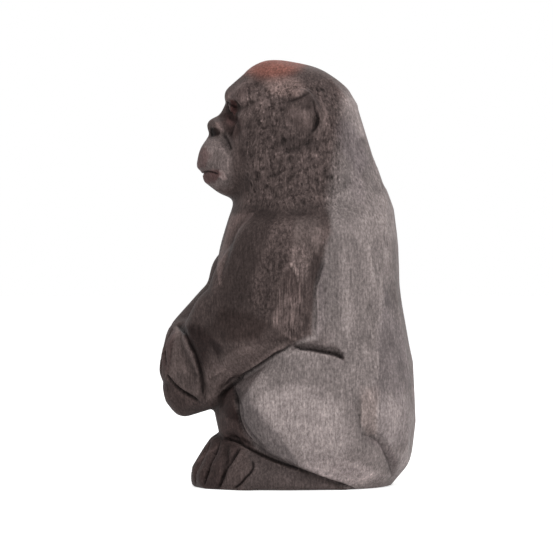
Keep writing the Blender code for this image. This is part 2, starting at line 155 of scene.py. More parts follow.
x, y, z = np.abs(points[:, 0]), points[:, 1], points[:, 2]
to_lips = np.hypot((y - MIDDLE_OF_THE_LIPS[0]) / 1.5, z - MIDDLE_OF_THE_LIPS[1])
face = step(-y, 10, 15) * step(z, 99, 104)
hands = step(-y, 18, 24) * step(-z, -66, -58)
feet = step(-y, 8, 14) * step(-z, -18, -14)
fine = np.maximum.reduce([
    face * step(to_lips, 2.0, 4.0) * step(distance_to_line(y, z, JAW), 2.0, 4.5),
    step(-distance_to_ear(x, y, z), -11, -8),
    hands,
    feet,
    *(step(-distance_to_line(y, z, fold), -4.0, -2.0) for fold in OPEN_FOLDS),
])
share = (BROAD_SHARE + fine * (FINE_SHARE - BROAD_SHARE))[:, None]
for _ in range(ROUNDS_OF_SMOOTHING):
    points += share * (neighbours_mean(points, edges) - points)
print("smoothed", ROUNDS_OF_SMOOTHING, "rounds;", round(100 * fine.mean()), "% is fine carving")

# %% [markdown]
# Real tools leave three kinds of mark. A knife takes a flat slice off a round form, a V-tool leaves a
# line that is deepest in its middle, and a gouge leaves a hollow. Each is a small function here that
# pushes the points of the skin inwards, so the marks can be placed one by one, as a carver places them.
# Booleans could cut them too, but hundreds of them on so fine a skin would be slow.

# %% The block and its tools
OUTSIDE = 100.0
KNIFE_FACING = 0.4
KNIFE_FADE = 0.2
KNIFE_BITE = 0.85
KNIFE_SKIPS = 0.06
# shares of a facet's reach: its middle, where its rim starts, and how far up and down its sides go
MIDDLE_SHARE, RIM_SHARE, SIDES_SHARE = 0.6, 0.7, 0.5
RIM_PERCENTILE = 80
LINE_FACING = 0.1


class Block:
    """The carved figure in millimetres, and the tools that work on it."""

    def __init__(self, thing, points):
        self.thing = thing
        self.points = points
        self.settle()

    def settle(self):
        """Takes the cuts made so far as the surface that the next tool meets."""
        mesh = self.thing.data
        mesh.vertices.foreach_set("co", (self.points * MM).astype(np.float32).ravel())
        mesh.update()
        self.normals = read(mesh, "vertex_normals", "vector", 3).astype(float)
        self.tree = BVHTree.FromObject(self.thing, bpy.context.evaluated_depsgraph_get())

    def met_from(self, start, way):
        """Where a straight look from outside meets the wood, and how the wood faces there."""
        place, facing, _, _ = self.tree.ray_cast(Vector(start) * MM, Vector(way))
        return None if place is None else (np.array(place) / MM, np.array(facing))

    def met_from_side(self, side, y, z):
        return self.met_from((side * OUTSIDE, y, z), (-side, 0, 0))

    def nearest(self, place):
        place, facing, _, _ = self.tree.find_nearest(Vector(place) * MM)
        return np.array(place) / MM, np.array(facing)

    def slice_flat(self, place, reach, stretch=1.0, deepest=1.0, lean=(0, 0, 0)):
        """A knife's flat facet. It goes as deep as the wood falls away at the facet's rim, so that it ends
        in ridges and not in a dent. A lean turns it away from the way the wood faces."""
        away = np.sqrt((((self.points - place) / (1.0, 1.0, stretch)) ** 2).sum(axis=1))
        close = np.flatnonzero(away < reach)
        facing = self.normals[close[away[close] < MIDDLE_SHARE * reach]].mean(axis=0)
        facing = facing / np.linalg.norm(facing) + lean
        facing /= np.linalg.norm(facing)
        met = close[self.normals[close] @ facing > KNIFE_FACING]
        away = away[met] / reach
        height = (self.points[met] - place) @ facing
        level = np.abs(self.points[met, 2] - place[2]) < SIDES_SHARE * reach * stretch
        beside = (away > RIM_SHARE) & level
        falls = -np.percentile(height[beside], RIM_PERCENTILE) if beside.any() else 0
        depth = min(deepest, KNIFE_BITE * falls)
        if depth < KNIFE_SKIPS:
            return 0
        rim = np.clip((1 - away) / KNIFE_FADE, 0, 1)
        self.points[met] -= (np.clip(height + depth, 0, depth) * rim)[:, None] * facing
        return 1

    def scoop(self, place, radius, squash=(1, 1, 1)):
        """A gouge's hollow: the ball at this place is taken out of the wood."""
        span = (self.points - place) / squash
        away = np.linalg.norm(span, axis=1)
        inside = away < radius
        self.points[inside] = place + span[inside] / away[inside, None] * radius * squash

    def draw_line(self, places, depth, left, right, run_out):
        """A V-tool's line along places on the wood, deepest on the line, fading over its run_out."""
        line = np.array([place for place, _ in places])
        facing = np.array([way for _, way in places])
        steps = np.linalg.norm(np.diff(line, axis=0), axis=1)
        gone = np.concatenate([[0.0], np.cumsum(steps)])
        margin = max(left, right)
        inside = (self.points > line.min(axis=0) - margin) & (self.points < line.max(axis=0) + margin)
        close = np.flatnonzero(inside.all(axis=1))
        at, run = line[:-1], np.diff(line, axis=0)
        offset = self.points[close][:, None, :] - at[None]
        share = np.clip((offset * run).sum(axis=2) / (run * run).sum(axis=1), 0, 1)
        miss = offset - share[:, :, None] * run
        which = (miss**2).sum(axis=2).argmin(axis=1)
        row = np.arange(len(close))
        miss, share = miss[row, which], share[row, which]
        normal = facing[which]
        aside = np.cross(normal, run[which] / np.linalg.norm(run[which], axis=1)[:, None])
        width = np.where((miss * aside).sum(axis=1) > 0, left, right)
        length = gone[which] + share * steps[which]
        fade = np.clip(np.minimum(length, gone[-1] - length) / run_out, 0, 1)
        cut = depth * fade * np.clip(1 - np.linalg.norm(miss, axis=1) / width, 0, 1)
        cut[(self.normals[close] * normal).sum(axis=1) < LINE_FACING] = 0
        self.points[close] -= cut[:, None] * normal


block = Block(figure, points)
print("the block faces", len(block.points), "points")

# %% [markdown]
# The knife comes first. On the real figure the back is shaved in long upright strips, and the arms,
# haunches and head in shorter facets that meet in soft ridges. The rows of facets are laid out by a rule
# with a fixed seed, so that the figure is carved all round. Facets are missed on purpose on the face,
# ears, hands and feet, which keep their forms, and on the sides, which get facets of their own.

# %% Facets all round
FACETS_SEED = 5
MIDDLE_DEPTH = 8
ROUND_THE_FIGURE = 240
STRAY = 2.5
REACH_TO_WIDTH = 0.75
DEPTH_SWAY = (0.7, 1.3)
# height where the rows start and end, their spacing, the facets' width, stretch along the grain and depth
FACET_BELTS = [
    (4, 46, 14.0, 15.0, 1.2, 0.8),
    (48, 100, 22.0, 13.0, 2.6, 0.7),
    (102, 148, 12.0, 12.0, 1.4, 0.7),
]


def spared(place):
    """Whether a place is left out of the rows of facets."""
    x, y, z = place
    face = y < -9 and z > 100
    ear = distance_to_ear(x, y, z) < 13
    front = y < -20 and z < 62
    side = abs(x) > 18 and y < 22 and z < 100
    return face or ear or front or side


def facets_round(seed):
    rng = np.random.default_rng(seed)
    cut = 0
    for low, high, rise, width, stretch, deepest in FACET_BELTS:
        for row, height in enumerate(np.arange(low, high, rise)):
            count = round(ROUND_THE_FIGURE / width)
            for k in range(count):
                turn = 2 * math.pi * (k + 0.5 * (row % 2)) / count
                stray = rng.uniform(-STRAY, STRAY, 3)
                way = np.array([math.cos(turn), math.sin(turn), 0.0])
                met = block.met_from(np.array([0, MIDDLE_DEPTH, height]) + stray + OUTSIDE * way, -way)
                if met and not spared(met[0]):
                    cut += block.slice_flat(
                        met[0], width * REACH_TO_WIDTH, stretch, deepest * rng.uniform(*DEPTH_SWAY)
                    )
    return cut


print("belts of facets:", len(FACET_BELTS))

# %% [markdown]
# A few broad facets catch the eye on the haunch, hand and shoulder, and give the figure its planes. They
# are cut at their own places, one pair at a time, and before the rows, as a carver roughs out the planes
# before shaving the rest.

# %% Broad facets on both sides
# depth and height of the middle, reach, stretch, deepest cut, and lean backwards and upwards
BROAD_FACETS = {
    "front of the arm": (-17.0, 78.0, 11.0, 1.8, 2.4, -0.35, 0.0),
    "middle of the arm": (-7.0, 76.0, 10.0, 1.9, 1.9, -0.08, 0.0),
    "rear of the arm": (4.0, 80.0, 8.0, 1.4, 1.4, 0.15, 0.1),
    "foot of the arm": (0.5, 63.5, 9.0, 1.5, 2.0, 0.12, -0.1),
    "top of the shoulder": (3.0, 92.5, 10.0, 0.9, 1.4, 0.0, 0.3),
    "corner of the shoulder": (10.6, 77.0, 4.5, 1.2, 0.8, 0.4, -0.2),
    "outside of the forearm": (-9.0, 50.0, 11.0, 0.8, 1.6, -0.1, -0.15),
    "front of the forearm": (-21.0, 55.0, 10.0, 1.2, 1.6, -0.3, 0.0),
    "end of the forearm": (-22.0, 40.0, 8.0, 0.9, 1.4, -0.1, -0.1),
    "side of the hand": (-35.5, 44.5, 10.0, 1.3, 2.2, 0.0, 0.0),
    "lower hand": (-36.0, 29.5, 7.0, 0.8, 1.4, -0.1, -0.2),
    "front of the haunch": (-9.5, 23.0, 10.5, 1.6, 2.8, -0.55, 0.0),
    "side of the haunch": (8.0, 24.0, 14.0, 1.1, 1.8, 0.0, 0.1),
    "haunch above the foot": (4.0, 10.0, 10.0, 0.7, 1.6, -0.1, -0.35),
    "haunch behind it": (20.0, 8.0, 9.0, 0.9, 1.4, 0.0, -0.25),
    "top of the haunch": (2.0, 42.0, 9.0, 0.7, 1.4, -0.1, 0.3),
    "hip": (18.0, 38.0, 9.0, 1.6, 1.2, 0.0, 0.1),
    "shoulder blade": (22.0, 92.0, 10.0, 1.6, 1.2, 0.1, 0.1),
    "flank": (17.0, 64.0, 10.0, 2.6, 1.2, 0.0, 0.0),
    "strip of the back": (26.0, 66.0, 7.5, 4.0, 1.0, 0.05, 0.0),
    "strip behind it": (37.0, 62.0, 7.0, 4.5, 1.2, 0.35, 0.0),
    "rump": (37.0, 26.0, 9.0, 1.5, 1.4, 0.3, 0.0),
    "flat above the buttock": (27.8, 27.5, 4.2, 2.2, 0.8, -0.1, 0.0),
    "behind the neck": (24.0, 105.0, 8.0, 1.4, 1.2, 0.2, 0.1),
    "nape": (25.0, 121.0, 7.0, 1.6, 0.6, 0.3, 0.1),
    "back of the head": (21.5, 133.0, 8.0, 1.4, 1.4, 0.3, 0.2),
    "forehead": (-13.0, 141.5, 6.0, 1.0, 1.0, -0.3, 0.3),
    "side of the muzzle": (-25.5, 116.0, 6.0, 1.3, 0.8, 0.0, 0.0),
}


def facet_on_side(side, y, z, reach, stretch, deepest, back, up):
    met = block.met_from_side(side, y, z)
    return block.slice_flat(met[0], reach, stretch, deepest, (0, back, up)) if met else 0


broad = sum(facet_on_side(side, *facet) for facet in BROAD_FACETS.values() for side in (LEFT, RIGHT))
block.settle()
print("broad facets:", broad, "and all round:", facets_round(FACETS_SEED))
block.settle()

# %% [markdown]
# Next come the V-tool's lines, which part one form from the next: the fold where the forearm lies on the
# thigh, the sickle-shaped cut behind the elbow, the top of the foot, the toes and fingers. A line is
# drawn as a few places on the side, the front or in space, made smooth, and then laid on the wood, so
# that it follows the form. It has a width on each side of it, so one wall can be steep and the other a
# long shaved slope.

# %% Lay a drawn line on the wood
LINE_STEP = 0.5


def along(drawn):
    """Closely spaced points on a smooth curve through the ones given."""
    drawn = np.array(drawn, float)
    gone = np.concatenate([[0.0], np.cumsum(np.linalg.norm(np.diff(drawn, axis=0), axis=1))])
    at = np.linspace(0, gone[-1], int(gone[-1] / LINE_STEP) + 2)
    slope = np.gradient(drawn, gone, axis=0)
    which = np.clip(np.searchsorted(gone, at, side="right") - 1, 0, len(gone) - 2)
    span = (gone[which + 1] - gone[which])[:, None]
    t = ((at - gone[which])[:, None]) / span
    return (
        drawn[which] * (1 + 2 * t) * (1 - t) ** 2
        + slope[which] * span * t * (1 - t) ** 2
        + drawn[which + 1] * t * t * (3 - 2 * t)
        + slope[which + 1] * span * t * t * (t - 1)
    )


def on_side(drawn, side):
    """A line drawn as depth and height, laid on the wood where it shows from one side."""
    met = [block.met_from_side(side, y, z) for y, z in along(drawn)]
    return [m for m in met if m]


def on_front(drawn):
    """A line drawn across and up, laid on the wood where it shows from the front."""
    met = [block.met_from((x, -OUTSIDE, z), (0, 1, 0)) for x, z in along(drawn)]
    return [m for m in met if m]


def on_nearest(drawn):
    """A line drawn in space, laid on the nearest wood."""
    return [block.nearest(place) for place in along(drawn)]


def cut_on_both_sides(lines):
    """Cuts lines drawn on the side: their depth, width above or behind, width below or in front, run-out
    and places. On the right the two widths change over."""
    for depth, behind, before, run_out, drawn in lines.values():
        block.draw_line(on_side(drawn, LEFT), depth, behind, before, run_out)
        block.draw_line(on_side(drawn, RIGHT), depth, before, behind, run_out)
    print("lines:", len(lines), "a side")


print("mm between the places of a line, at most:", LINE_STEP)

# %% Lines of the arm, haunch and foot
SIDE_LINES = {
    "under the forearm": (1.6, 0.6, 2.6, 3.0, [
        (-24.6, 31.6), (-19.2, 37.2), (-15.0, 40.2), (-10.8, 42.9), (-7.3, 45.3), (-3.9, 47.7),
        (1.3, 50.5),
    ]),
    "behind the elbow": (1.8, 2.6, 0.7, 1.5, [
        (1.6, 50.0), (3.9, 49.4), (7.7, 48.9), (12.9, 47.9), (16.7, 47.0), (19.3, 45.6),
    ]),
    "back of the arm": (0.6, 0.5, 1.8, 5.0, [
        (12.8, 81.5), (12.2, 78.2), (11.0, 74.8), (9.7, 70.5), (9.6, 62.0), (9.4, 52.5),
    ]),
    "gap of the hands": (1.6, 0.7, 1.4, 2.0, [
        (-43.0, 39.8), (-40.7, 36.8), (-37.8, 34.1), (-34.3, 32.1), (-31.2, 30.3),
    ]),
    "front of the haunch": (1.0, 0.6, 1.6, 3.0, [
        (-18.9, 36.5), (-17.6, 31.2), (-16.7, 24.2), (-15.0, 20.1), (-10.5, 15.2),
    ]),
    "gap of the last toes": (1.4, 0.8, 0.8, 1.5, [
        (-16.6, 15.0), (-18.3, 12.2), (-20.3, 9.0), (-22.0, 5.8), (-23.2, 3.0), (-24.3, 0.4),
    ]),
    "top of the foot": (1.3, 0.6, 1.0, 2.0, [
        (-22.4, 17.6), (-17.2, 16.6), (-15.1, 15.5), (-10.7, 13.2), (-5.1, 10.7), (0.8, 8.6), (7.7, 6.2),
        (14.6, 3.6), (19.8, 1.7), (23.0, 0.3),
    ]),
    "outer toe": (1.1, 0.5, 0.5, 1.5, [
        (-12.3, 10.6), (-12.0, 8.6), (-12.8, 6.6), (-14.5, 4.8), (-16.8, 2.2), (-18.9, 0.7),
    ]),
    "buttock": (0.8, 3.4, 1.0, 3.0, [
        (24.7, 19.9), (28.3, 18.9), (31.1, 17.1), (34.0, 12.0), (36.6, 4.2),
    ]),
    "edge of the flat": (0.45, 0.5, 2.2, 4.0, [(25.0, 33.0), (25.0, 26.0), (25.2, 19.5)]),
}
cut_on_both_sides(SIDE_LINES)

# %% The edge of the hand in front
# this hand shows its edge against the forearm on the left only
WEDGE_OF_THE_HAND = [
    (-39.4, 56.8), (-36.9, 54.4), (-35.0, 50.5), (-33.1, 46.7), (-32.0, 43.6), (-31.0, 40.1),
    (-30.5, 36.6), (-30.3, 33.8), (-29.2, 31.3),
]
block.draw_line(on_side(WEDGE_OF_THE_HAND, LEFT), 1.2, 3.2, 0.5, 3.0)
print("places along the edge of the hand:", len(WEDGE_OF_THE_HAND))

# %% Toes and fingers
TOE_CUT = (1.5, 0.9, 0.9, 2.5)
FINGER_CUT = (1.1, 0.9, 0.9, 3.0)
TOE_GAPS = [
    [(6.5, -27.0, 15.0), (8.6, -31.0, 9.0), (9.5, -34.5, 1.0)],
    [(10.8, -25.8, 15.2), (14.0, -29.0, 9.0), (15.8, -32.6, 1.0)],
    [(15.0, -22.8, 15.4), (19.6, -26.2, 9.0), (22.2, -29.6, 1.0)],
]
FINGER_GAPS = [
    [(-3.0, -43.5, 54.0), (2.0, -44.5, 47.0), (5.0, -45.0, 38.5)],
    [(-6.5, -43.5, 50.5), (-2.5, -45.0, 43.5), (0.5, -45.0, 36.5)],
    [(0.5, -42.5, 57.0), (5.0, -43.5, 50.0), (8.5, -42.5, 42.0)],
    [(2.0, -43.5, 32.0), (-5.0, -43.5, 31.2), (-12.0, -40.0, 31.5)],
    [(3.0, -41.5, 28.0), (-4.0, -41.0, 27.2), (-10.5, -38.5, 27.6)],
    [(-4.0, -43.5, 35.6), (-9.0, -42.0, 35.6), (-13.5, -38.0, 35.4)],
]
for gap in TOE_GAPS:
    for side in (LEFT, RIGHT):
        block.draw_line(on_nearest([(side * x, y, z) for x, y, z in gap]), *TOE_CUT)
for gap in FINGER_GAPS:
    block.draw_line(on_nearest(gap), *FINGER_CUT)
block.settle()
print("gaps:", 2 * len(TOE_GAPS), "between toes and", len(FINGER_GAPS), "between fingers")

# %% [markdown]
# The face and ears are the finest carving. The eyes are small almonds under a heavy brow, each with a
# crease above and below. The nostrils are round hollows under broad wings, a short fold sets the muzzle
# off from the cheek, and the mouth is one long line with full lips. An ear is a C-shaped rim round a
# deep crescent. They are the same three tools, only smaller.

# %% Folds of the face and the ears
FACE_LINES = {
    "side of the muzzle": (0.6, 0.9, 1.1, 1.5, [
        (-22.6, 123.8), (-21.6, 122.1), (-20.6, 119.8), (-19.8, 117.6),
    ]),
    "crescent of the ear": (1.2, 0.6, 1.6, 4.5, [
        (8.1, 136.3), (9.5, 133.9), (10.3, 131.1), (10.4, 128.5), (9.5, 125.7), (7.6, 123.4),
    ]),
    "top of the ear": (0.4, 0.6, 1.4, 2.5, [(0.3, 134.9), (3.8, 136.2), (7.4, 138.0)]),
    "cut in the cheek": (0.5, 1.0, 0.5, 0.8, [(-9.8, 125.8), (-8.4, 125.5), (-7.0, 125.8)]),
}
cut_on_both_sides(FACE_LINES)
block.settle()

# %% Eyes
# drawn from the front: depth, width above, width below, run-out and places
EYE_LINES = {
    "crease above the eye": (0.7, 0.8, 0.5, 1.0, [
        (3.0, 132.6), (4.4, 134.1), (6.0, 134.6), (7.6, 134.0), (8.8, 132.6),
    ]),
    "crease below the eye": (0.35, 0.5, 0.8, 1.0, [
        (3.0, 132.6), (4.6, 131.5), (6.2, 131.1), (7.8, 131.5), (8.8, 132.6),
    ]),
    "bag below the eye": (0.2, 0.8, 0.8, 1.5, [(3.4, 130.4), (5.2, 129.0), (7.2, 128.6), (9.0, 129.4)]),
}
for *cut, drawn in EYE_LINES.values():
    for side in (LEFT, RIGHT):
        block.draw_line(on_front([(side * x, z) for x, z in drawn]), *cut)
print("eye lines:", len(EYE_LINES), "a side")

# %% Nose and mouth
NOSTRIL_PLACE = (-25.6, 124.5)
NOSTRIL_RADIUS = 1.7
NOSTRIL_SQUASH = (1.0, 1.1, 0.7)
MOUTH = [
    (-11.5, 109.6), (-9.0, 110.4), (-5.0, 110.2), (-2.0, 109.7), (2.0, 109.7), (5.0, 110.2),
    (9.0, 110.4), (11.5, 109.6),
]
LIP_GROOVE = [(0.0, 122.6), (0.0, 119.0), (0.0, 114.5)]
for side in (LEFT, RIGHT):
    place, _ = block.met_from_side(side, *NOSTRIL_PLACE)
    block.scoop(place, NOSTRIL_RADIUS, NOSTRIL_SQUASH)
block.draw_line(on_front(MOUTH), 0.8, 0.6, 0.6, 1.5)
block.draw_line(on_front(LIP_GROOVE), 0.4, 1.2, 1.2, 3.0)
block.settle()
print("mouth, mm wide:", MOUTH[-1][0] - MOUTH[0][0])

# %% [markdown]
# The hair on the head, cheeks and neck is cut with a small gouge in short upright strokes. There are
# far too many to place by hand, so Geometry Nodes scatter them: points at a least distance from each
# other, a short stroke at each point that lies along the wood and runs downwards, and every point of
# the skin that is close to a stroke is pushed in. Where the hair grows is an attribute on the skin.

# %% Where the hair grows
CLUMP_SIZE = 3.6
# each wave's share along the depth, the height and the width, and its start
CLUMP_WAVES = [(1.0, 0.4, 0.2, 0.0), (-0.5, 1.1, 0.3, 1.7), (0.3, -0.6, 1.3, 4.0), (-1.2, 0.2, 0.9, 2.6)]
BETWEEN_CLUMPS = 0.25
points = block.points
x, y, z = np.abs(points[:, 0]), points[:, 1], points[:, 2]
between_neck_and_crown = step(z, 96, 100) * step(-z, -144, -139)
beside_the_face = step(y, -17, -13) * step(-y, -22, -14) * step(x, 6, 10)
round_ear = step(distance_to_ear(x, y, z), 6.5, 9)
clumps = sum(
    np.sin(2 * math.pi / CLUMP_SIZE * (along_y * y + along_z * z + along_x * x) + start)
    for along_y, along_z, along_x, start in CLUMP_WAVES
)
hair = between_neck_and_crown * beside_the_face * round_ear
hair *= BETWEEN_CLUMPS + (1 - BETWEEN_CLUMPS) * step(clumps, -0.8, 0.8)
hair_attribute = figure.data.attributes.new("hair", "FLOAT", "POINT")
hair_attribute.data.foreach_set("value", hair.astype(np.float32))
print("hair covers", round(100 * hair.mean(), 1), "% of the points")

# %% A pair of helpers for node trees


def plug(tree, node, inputs):
    """Gives each input of a node a value, or joins it to the output of another node."""
    for name, value in inputs.items():
        if isinstance(value, bpy.types.NodeSocket):
            tree.links.new(value, node.inputs[name])
        else:
            node.inputs[name].default_value = value


def add(tree, kind, inputs=None, **settings):
    """Adds a node, sets it up and plugs its inputs. Returns its outputs."""
    made = tree.nodes.new(kind)
    for name, value in settings.items():
        setattr(made, name, value)
    plug(tree, made, inputs or {})
    return made.outputs


# %% [markdown]
# The gouge is one node tree. Its inputs are the sizes of a stroke, so it can be tried on a scrap of
# wood first. It has four parts: points scattered where the hair grows, a direction that runs down the
# wood at each of them, a short line laid along it, and a push that is deepest on that line.

# %% The gouge as a node tree
GOUGE_INPUTS = {
    "Wood": "Geometry", "Spacing": "Float", "Stroke Length": "Float", "Stroke Width": "Float",
    "Stroke Depth": "Float", "Seed": "Int", "Stain": "Material",
}
HAIR_STRAY = (0.35, 0.35, 0.1)
SMALLEST_STROKE, LARGEST_STROKE = 0.6, 1.4
MOST_STROKES = 2.0e6


def gouge_tree():
    """Geometry Nodes that press short strokes into a mesh where its hair attribute says."""
    tree = bpy.data.node_groups.new("hair_gouge", "GeometryNodeTree")
    for name, kind in GOUGE_INPUTS.items():
        tree.interface.new_socket(name, in_out="INPUT", socket_type="NodeSocket" + kind)
    tree.interface.new_socket("Wood", in_out="OUTPUT", socket_type="NodeSocketGeometry")
    given = add(tree, "NodeGroupInput")

    def number(operation, *values):
        return add(tree, "ShaderNodeMath", dict(enumerate(values)), operation=operation)["Value"]

    def vector(operation, *values):
        return add(tree, "ShaderNodeVectorMath", dict(enumerate(values)), operation=operation)["Vector"]

    def scaled(value, scale):
        return add(tree, "ShaderNodeVectorMath", {0: value, "Scale": scale}, operation="SCALE")["Vector"]

    # points where the hair grows, at a least distance from each other
    grows = add(tree, "GeometryNodeInputNamedAttribute", {"Name": "hair"}, data_type="FLOAT")["Attribute"]
    scatter = add(tree, "GeometryNodeDistributePointsOnFaces", {
        "Mesh": given["Wood"], "Distance Min": given["Spacing"], "Density Max": MOST_STROKES,
        "Density Factor": grows, "Seed": given["Seed"],
    }, distribute_method="POISSON")

    # the way down along the wood, with some stray
    sideways = vector("CROSS_PRODUCT", (0.0, 0.0, -1.0), scatter["Normal"])
    down_wood = vector("CROSS_PRODUCT", scatter["Normal"], sideways)
    limits = {"Min": tuple(-most for most in HAIR_STRAY), "Max": HAIR_STRAY}
    stray = add(tree, "FunctionNodeRandomValue", limits, data_type="FLOAT_VECTOR")["Value"]
    strayed = vector("ADD", down_wood, stray)
    turned = add(tree, "FunctionNodeAlignRotationToVector", {"Vector": strayed}, axis="Z")["Rotation"]

    # a stroke is a line with its middle on the point
    half = number("MULTIPLY", given["Stroke Length"], 0.5)
    one_end = add(tree, "ShaderNodeCombineXYZ", {"Z": half})["Vector"]
    ends = {"Count": 2, "Start Location": scaled(one_end, -1.0), "Offset": one_end}
    stroke = add(tree, "GeometryNodeMeshLine", ends, mode="END_POINTS")["Mesh"]
    size = add(tree, "FunctionNodeRandomValue", {2: SMALLEST_STROKE, 3: LARGEST_STROKE}, data_type="FLOAT")[1]
    strokes = add(tree, "GeometryNodeInstanceOnPoints", {
        "Points": scatter["Points"], "Instance": stroke, "Rotation": turned, "Scale": size,
    })["Instances"]
    real = add(tree, "GeometryNodeRealizeInstances", {"Geometry": strokes})["Geometry"]

    # the wood near a stroke is pushed in, deepest on the stroke
    near = add(tree, "GeometryNodeProximity", {0: real}, target_element="EDGES")["Distance"]
    press = add(tree, "ShaderNodeMapRange", {
        "Value": near, "From Min": 0.0, "From Max": given["Stroke Width"],
        "To Min": given["Stroke Depth"], "To Max": 0.0,
    }, interpolation_type="SMOOTHSTEP")["Result"]
    outwards = scaled(add(tree, "GeometryNodeInputNormal")["Normal"], number("MULTIPLY", press, grows))
    moved = add(tree, "GeometryNodeSetPosition", {
        "Geometry": given["Wood"], "Offset": scaled(outwards, -1.0),
    })["Geometry"]

    whole = add(tree, "GeometryNodeRealizeInstances", {"Geometry": moved})["Geometry"]
    stained = add(tree, "GeometryNodeSetMaterial", {"Geometry": whole, "Material": given["Stain"]})
    add(tree, "NodeGroupOutput", {"Wood": stained["Geometry"]})
    return tree


gouge = gouge_tree()
print("nodes in the gouge:", len(gouge.nodes))

# %% Gouge the hair
stained_wood = bpy.data.materials.new("stained_wood")
gouging = figure.modifiers.new("hair_gouge", "NODES")
gouging.node_group = gouge
GOUGE_SIZES = {
    "Spacing": 1.25 * MM, "Stroke Length": 1.5 * MM, "Stroke Width": 0.7 * MM, "Stroke Depth": 0.3 * MM,
    "Seed": 3, "Stain": stained_wood,
}
for socket in gouge.interface.items_tree:
    if socket.name in GOUGE_SIZES and socket.in_out == "INPUT":
        gouging[socket.identifier] = GOUGE_SIZES[socket.name]
figure.data = mesh_of(figure)
figure.modifiers.clear()
print("gouged; points moved on", len(figure.data.vertices))

# %% [markdown]
# The skin now has more triangles than a piece may keep, most of them on broad wood that needs few. The
# Decimate modifier takes them from there first, because it joins triangles where that moves the surface
# least. A coarser skin from the start would have lost the strokes of the hair.

# %% Thin the skin
TRIANGLES_KEPT = 192000
thin = figure.modifiers.new("thinned", "DECIMATE")
thin.ratio = min(1.0, TRIANGLES_KEPT / (2 * len(figure.data.polygons)))
figure.data = mesh_of(figure)
figure.modifiers.clear()
wood = figure.data
print("triangles:", sum(len(face.vertices) - 2 for face in wood.polygons))

# %% [markdown]
# The finish starts as numbers on the points of the mesh, because the points already follow the form.
# The first number tells how hollow the wood is: how far the mean of a point's neighbourhood lies outside
# it. The material darkens the hollows and lightens the ridges by it, partly as stain that sank in and
# wear on the ridges, partly as painted shade in the folds. A few rounds of smoothing find the small
# marks, and many rounds find the folds.

# %% Hollows and ridges
FINE_ROUNDS, BROAD_ROUNDS = 4, 40
HOLLOW_SHARE = 0.6
points = read(wood, "vertices", "co", 3).astype(float) / MM
normals = read(wood, "vertex_normals", "vector", 3).astype(float)
edges = read(wood, "edges", "vertices", 2, np.int32)
grown = read(wood.attributes["hair"], "data", "value", 1)[:, 0]


def hollowness(rounds):
    """How far the smoothed surface lies outside each point, in millimetres."""
    soft = points.copy()
    for _ in range(rounds):
        soft += HOLLOW_SHARE * (neighbours_mean(soft, edges) - soft)
    return ((soft - points) * normals).sum(axis=1)


fine_hollow = hollowness(FINE_ROUNDS)
broad_hollow = hollowness(BROAD_ROUNDS)
print("hollows, mm:", np.percentile(broad_hollow, [1, 50, 99]).round(3))

# %% [markdown]
# The block was stained nearly black all over. The stain was then rubbed off the back and haunches, down
# to a silver grey with a crisp edge along the arm and the thigh and a soft one behind the head. The
# muzzle was rubbed a little. The red of the crown lies over all of it, and is laid on last.

# %% Where the stain is dark or silver
DARK = np.array((0.083, 0.061, 0.057))
SILVER = np.array((0.275, 0.232, 0.224))
MUZZLE = np.array((0.185, 0.147, 0.14))
LIGHTER_HEAD = 0.25
SILVER_OUTLINE = [
    (-18.9, 36.5), (-17.6, 31.2), (-16.7, 24.2), (-15.0, 19.0), (-11.5, 14.5), (-1.8, 10.0), (11.7, 4.8),
    (22.0, 0.0), (60.0, -5.0), (60.0, 150.0), (24.0, 146.0), (20.0, 134.0), (18.0, 120.0), (16.0, 108.0),
    (14.0, 98.0), (15.0, 90.0), (12.0, 80.0), (9.2, 71.0), (8.2, 54.0), (1.3, 50.5), (-7.3, 45.3),
    (-15.0, 40.2),
]


def inside_distance(y, z, outline):
    """How far a place lies inside an outline drawn as depth and height; negative outside it."""
    closed = [*outline, outline[0]]
    inside = np.zeros(len(y), bool)
    for (y0, z0), (y1, z1) in zip(closed[:-1], closed[1:]):
        if z0 != z1:
            inside ^= ((z0 > z) != (z1 > z)) & (y < y0 + (z - z0) * (y1 - y0) / (z1 - z0))
    away = distance_to_line(y, z, closed)
    return np.where(inside, away, -away)


x, y, z = np.abs(points[:, 0]), points[:, 1], points[:, 2]
edge_width = 1.0 + 3.0 * step(z, 92, 104)
silver = step(inside_distance(y, z, SILVER_OUTLINE) / edge_width, -1.0, 1.2)
muzzle = step(-y, 18, 22) * step(z, 103, 107) * step(-z, -126, -121)
stain = DARK + silver[:, None] * (SILVER - DARK)
stain *= 1 + LIGHTER_HEAD * step(z, 94, 102)[:, None] * (1 - silver[:, None])
stain += muzzle[:, None] * (MUZZLE - stain)
print("silver covers", round(100 * silver.mean()), "% of the points")

# %% [markdown]
# Each plane that the knife left took the stain a little differently, and each was rubbed more or less.
# Many panels are painted light and shade as well: planes that face away from the lamps, or lie under the
# forearm, the ruff or the hand, are painted darker, and some planes that face the lamps are painted
# lighter. A noise can't do it, because the change falls exactly on the ridges. So the planes are panels:
# an outline as depth and height, how soft its edge is, and the factor on the stain inside it, either one
# for all or one each for red, green and blue.

# %% Panels of the arm


def paint_panels_of_stain_and_shade(panels, where=1.0):
    """Makes the stain lighter or darker inside each outline, in the places that are asked for."""
    for edge, factor, outline in panels.values():
        weight = step(inside_distance(y, z, outline), -edge, edge) * where
        stain[:] *= np.array(factor) ** weight[:, None]
    print("painted panels of stain and shade:", len(panels))


